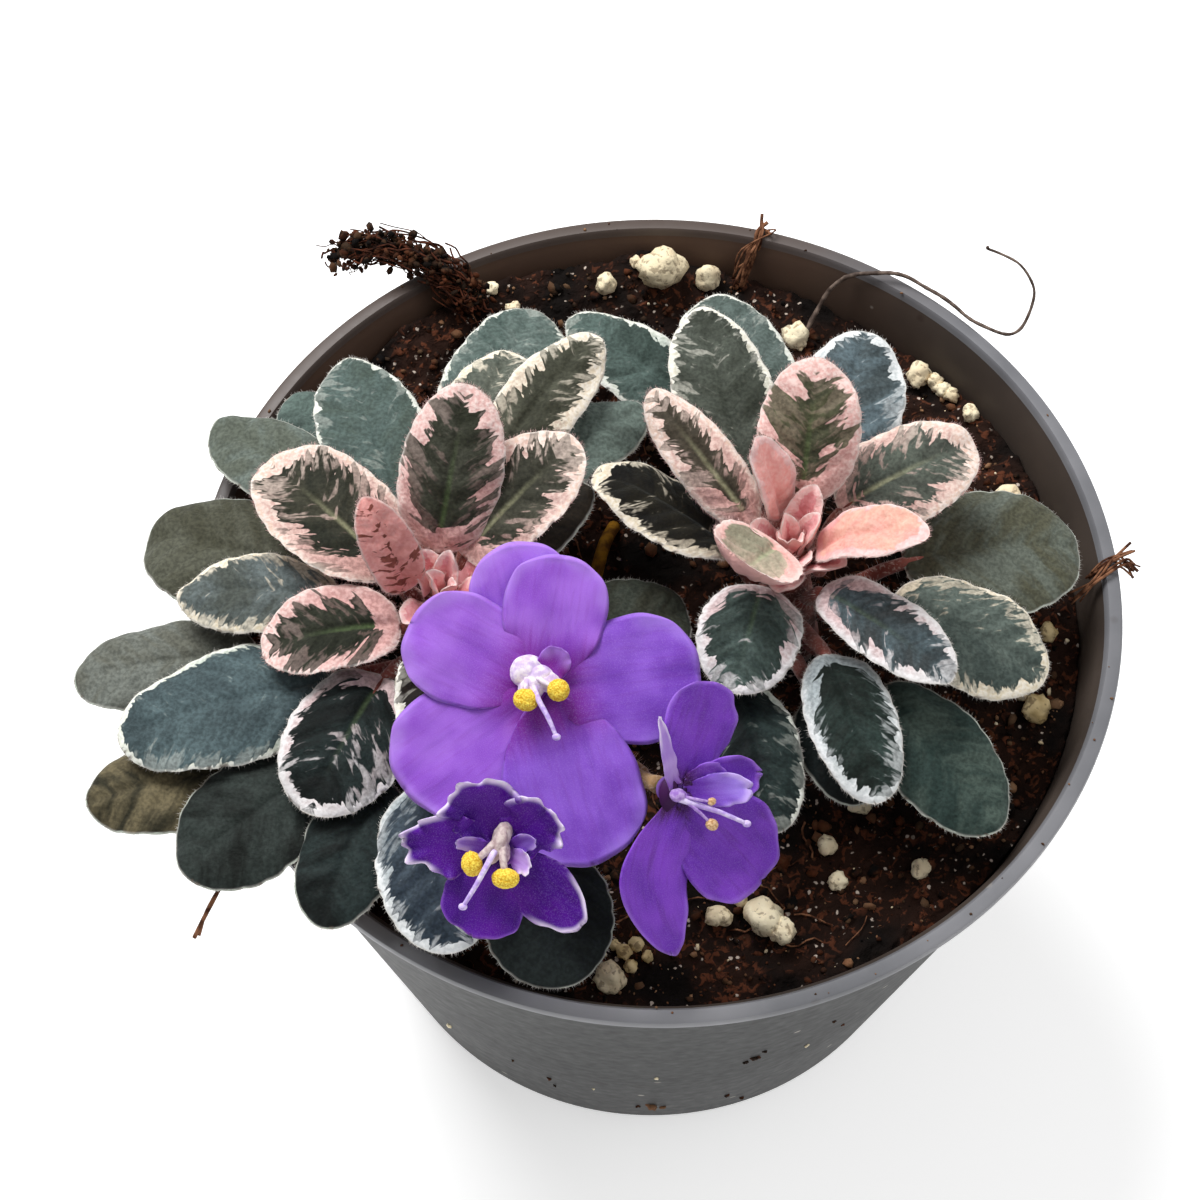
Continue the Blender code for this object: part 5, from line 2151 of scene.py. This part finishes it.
# As on the left, the core colours carry painted shade leaf by leaf.
RIGHT_LEAVES = (
    LeafPlan("35423d", "4f5f5a", LeafLook.SPECKED), LeafPlan("0d1110", "151d1d"),
    LeafPlan("48544f", "56625e", LeafLook.SPECKED), LeafPlan("263531", "435049"),
    LeafPlan("080f10", "232f2d", LeafLook.SPECKED), LeafPlan("4b4b3c", "5c6259"),
    LeafPlan("3b4541", "535d57", LeafLook.DASHED, wave=0.4),
    LeafPlan("3e4749", "56656b", LeafLook.FROSTED, wave=0.4),
    LeafPlan("131b17", "2b3935", LeafLook.FROSTED, back=3.0, broad=0.92),
    LeafPlan("070503", "1b180e", LeafLook.DASHED),
    LeafPlan("2d3129", "454a42", LeafLook.FRAMED, wave=0.35),
    LeafPlan("2c3733", "4b5a55", LeafLook.BLUSHED, back=2.2, broad=0.9),
    LeafPlan("434740", "51584f", LeafLook.STREAKED, wave=0.4, broad=0.93),
    LeafPlan("34393a", "4c5a5f", LeafLook.BLUSHED),
    LeafPlan("3c362c", "4e483d", LeafLook.STREAKED, wave=0.25, back=2.0, broad=0.88),
    LeafPlan("343629", "4f4f39", LeafLook.PALE, wave=0.35, back=2.0, broad=1.02),
    LeafPlan("bba897", "8f8b77", LeafLook.CUPPED, wave=0.0, back=3.0, broad=0.96, end=0.95),
    LeafPlan("df9d95", "e3b09e", LeafLook.SALMON, wave=0.2, back=4.0, broad=0.84),
    LeafPlan("eda8a2", "f4b6af", LeafLook.SALMON, wave=0.2, back=4.5, broad=1.08),
)
# The young leaves round each crown's axis: azimuth, reach and height of the base, reach and height
# of the tip, width, bend and fold, as in SketchedCage.
LEFT_HEART = (
    (-20, 0.8, 13.5, 5.0, 19.5, 4.4, 0.5, 0.7), (128, 0.8, 13.5, 4.0, 20.0, 3.8, 0.4, 0.7),
    (-75, 1.0, 12.5, 7.0, 18.0, 5.0, 0.6, 0.6), (30, 1.0, 12.0, 7.0, 18.5, 5.0, 0.6, 0.6),
    (75, 0.6, 14.0, 3.0, 20.5, 3.0, 0.3, 0.6), (-130, 1.0, 12.5, 6.0, 17.5, 4.5, 0.5, 0.6),
    (165, 0.3, 15.2, 1.5, 20.0, 2.4, 0.3, 0.5), (-30, 0.3, 15.2, 1.7, 19.6, 2.4, 0.3, 0.5),
)
RIGHT_HEART = (
    (-75, 0.8, 13.0, 4.5, 19.5, 3.8, 0.4, 0.7), (60, 0.8, 13.5, 5.0, 22.0, 4.2, 0.4, 0.7),
    (-35, 1.0, 12.0, 7.0, 19.5, 4.5, 0.6, 0.6), (180, 0.8, 13.0, 4.5, 20.5, 3.6, 0.4, 0.7),
    (15, 0.6, 14.0, 3.2, 21.5, 3.0, 0.3, 0.6), (-100, 1.0, 12.0, 6.5, 17.0, 4.6, 0.5, 0.6),
    (120, 0.3, 15.2, 1.5, 20.6, 2.6, 0.3, 0.5), (-60, 0.3, 15.2, 1.8, 20.0, 2.6, 0.3, 0.5),
    (-150, 0.3, 15.2, 1.8, 19.6, 2.4, 0.3, 0.5),
)
OPEN_FLOWER = Flower(
    number=1,
    look=MID_VIOLET,
    petals=(
        Petal(82, 14.0, 10.8, layer=0.35, ruffle=0.2),
        Petal(103, 15.4, 11.0, 0.0, layer=-0.35, ruffle=0.2),
        Petal(155, 15.2, 11.6, 0.6, layer=0.25, ruffle=0.25),
        Petal(218, 17.6, 13.6, 0.5, layer=-0.1),
        # These two petals take the violet with painted shade.
        Petal(289, 18.8, 14.5, 0.2, layer=0.5, look=SHADED_VIOLET),
        Petal(8, 16.5, 13.4, 0.4, layer=0.1, look=SHADED_VIOLET),
        Petal(66, 4.8, 3.4, 1.0, layer=0.7, ruffle=0.2),
    ),
    azimuth=-90.0,
    elevation=58.0,
    mounds=(
        (-1.5, 1.8, 0.6, 1.8, 1.7, 1.1, 20.0), (-0.9, 0.4, 0.8, 1.7, 1.4, 1.2, 60.0),
        (0.5, 0.9, 0.8, 1.7, 1.1, 1.1, -20.0), (-0.3, 1.4, 0.7, 1.6, 1.3, 1.2, 0.0),
    ),
    sacs=((-1.5, -1.0, 2.3, 1.3, 1.15, -15.0), (1.8, 0.1, 2.3, 1.15, 1.15, 40.0)),
    style=((-0.8, 0.4, 1.6), (-0.2, -0.9, 2.7), (0.9, -2.7, 3.3), (1.8, -4.6, 3.4)),
    filament=0.35,
)
CUPPED_FLOWER = Flower(
    number=2,
    look=DEEP_PURPLE,
    petals=(
        Petal(116, 8.4, 8.0, 3.0, ruffle=1.9, fold=0.5, layer=0.1, keen=1.9),
        Petal(50, 7.6, 6.8, 3.0, ruffle=1.9, fold=0.5, layer=0.4, keen=2.0),
        Petal(176, 10.0, 6.6, 1.6, ruffle=1.5, fold=0.8, layer=0.3, fullest=0.48, keen=1.5),
        Petal(256, 9.4, 8.6, 0.2, layer=-0.2, look=PLAIN_PURPLE),
        Petal(323, 11.2, 6.8, 0.6, keen=1.4, fullest=0.5),
        Petal(163, 4.6, 1.7, 2.4, fold=0.5, layer=0.9, look=LILAC),
        Petal(36, 4.4, 2.0, 2.6, fold=0.6, ruffle=0.4, layer=0.9, look=LILAC),
        Petal(-8, 3.4, 2.4, 2.6, fold=0.6, ruffle=0.4, layer=0.9, look=BLANCHED),
    ),
    azimuth=-95.0,
    elevation=50.0,
    mounds=(
        (0.0, 1.9, 1.2, 1.5, 0.95, 1.0, 75.0), (-0.3, 0.9, 1.9, 1.9, 0.8, 0.8, 72.0),
        (0.4, 0.4, 1.5, 1.2, 0.6, 0.7, 100.0),
    ),
    sacs=((-2.6, -0.8, 3.2, 1.3, 1.05, 105.0), (0.9, -1.9, 3.2, 1.4, 1.05, 5.0)),
    style=((-0.5, 0.6, 2.6), (-1.1, -0.8, 3.9), (-1.9, -2.7, 4.3), (-3.0, -5.0, 4.3)),
    mound_look=BEIGE_FILAMENT,
)
SIDEWAYS_FLOWER = Flower(
    number=3,
    look=BLUE_VIOLET,
    petals=(
        Petal(41, 11.9, 8.8, 0.5, layer=-0.1),
        Petal(82, 9.6, 1.7, 1.6, layer=0.3, ruffle=0.2, look=BLANCHED, keen=1.3, fullest=0.36),
        Petal(236, 17.0, 8.4, 0.0, layer=0.1, keen=1.4, ruffle=0.2, fullest=0.5, bend=2.6),
        Petal(282, 14.2, 11.4, 1.0, layer=0.3), Petal(-6, 4.8, 4.0, 1.6, layer=0.6),
        Petal(344, 7.8, 5.0, 2.6, layer=0.55, fold=0.8),
        Petal(334, 6.2, 3.6, 3.0, layer=0.9, fold=0.5, look=LILAC),
    ),
    azimuth=-45.0,
    elevation=40.0,
    mounds=((-0.5, 0.3, 0.8, 0.9, 0.7, 0.8, -40.0),),
    sacs=((0.5, -3.9, 2.5, 0.75, 0.6, -60.0), (1.7, -1.8, 2.5, 0.5, 0.4, -30.0)),
    style=((-0.8, 0.2, 1.0), (0.4, -1.4, 2.0), (1.8, -3.2, 2.8), (3.5, -5.9, 3.5)),
    sac_look=DRY_ANTHER,
    mound_look=MAUVE_FILAMENT,
    filament=0.22,
    calyx=0.55,
)


def main() -> None:
    """Builds the studio and the plant in order."""
    logging.basicConfig(level=logging.INFO, format="%(message)s")
    Studio().build()
    pot = NurseryPot()
    pot.build()
    PottingMix(pot).build()
    Crown("left", LEFT_LEAVES, LEFT_HEART, 0).build()
    Crown("right", RIGHT_LEAVES, RIGHT_HEART, 30).build()
    for flower in (OPEN_FLOWER, CUPPED_FLOWER, SIDEWAYS_FLOWER):
        flower.build()
    LooseBits(pot).build()


if __name__ == "__main__":
    main()
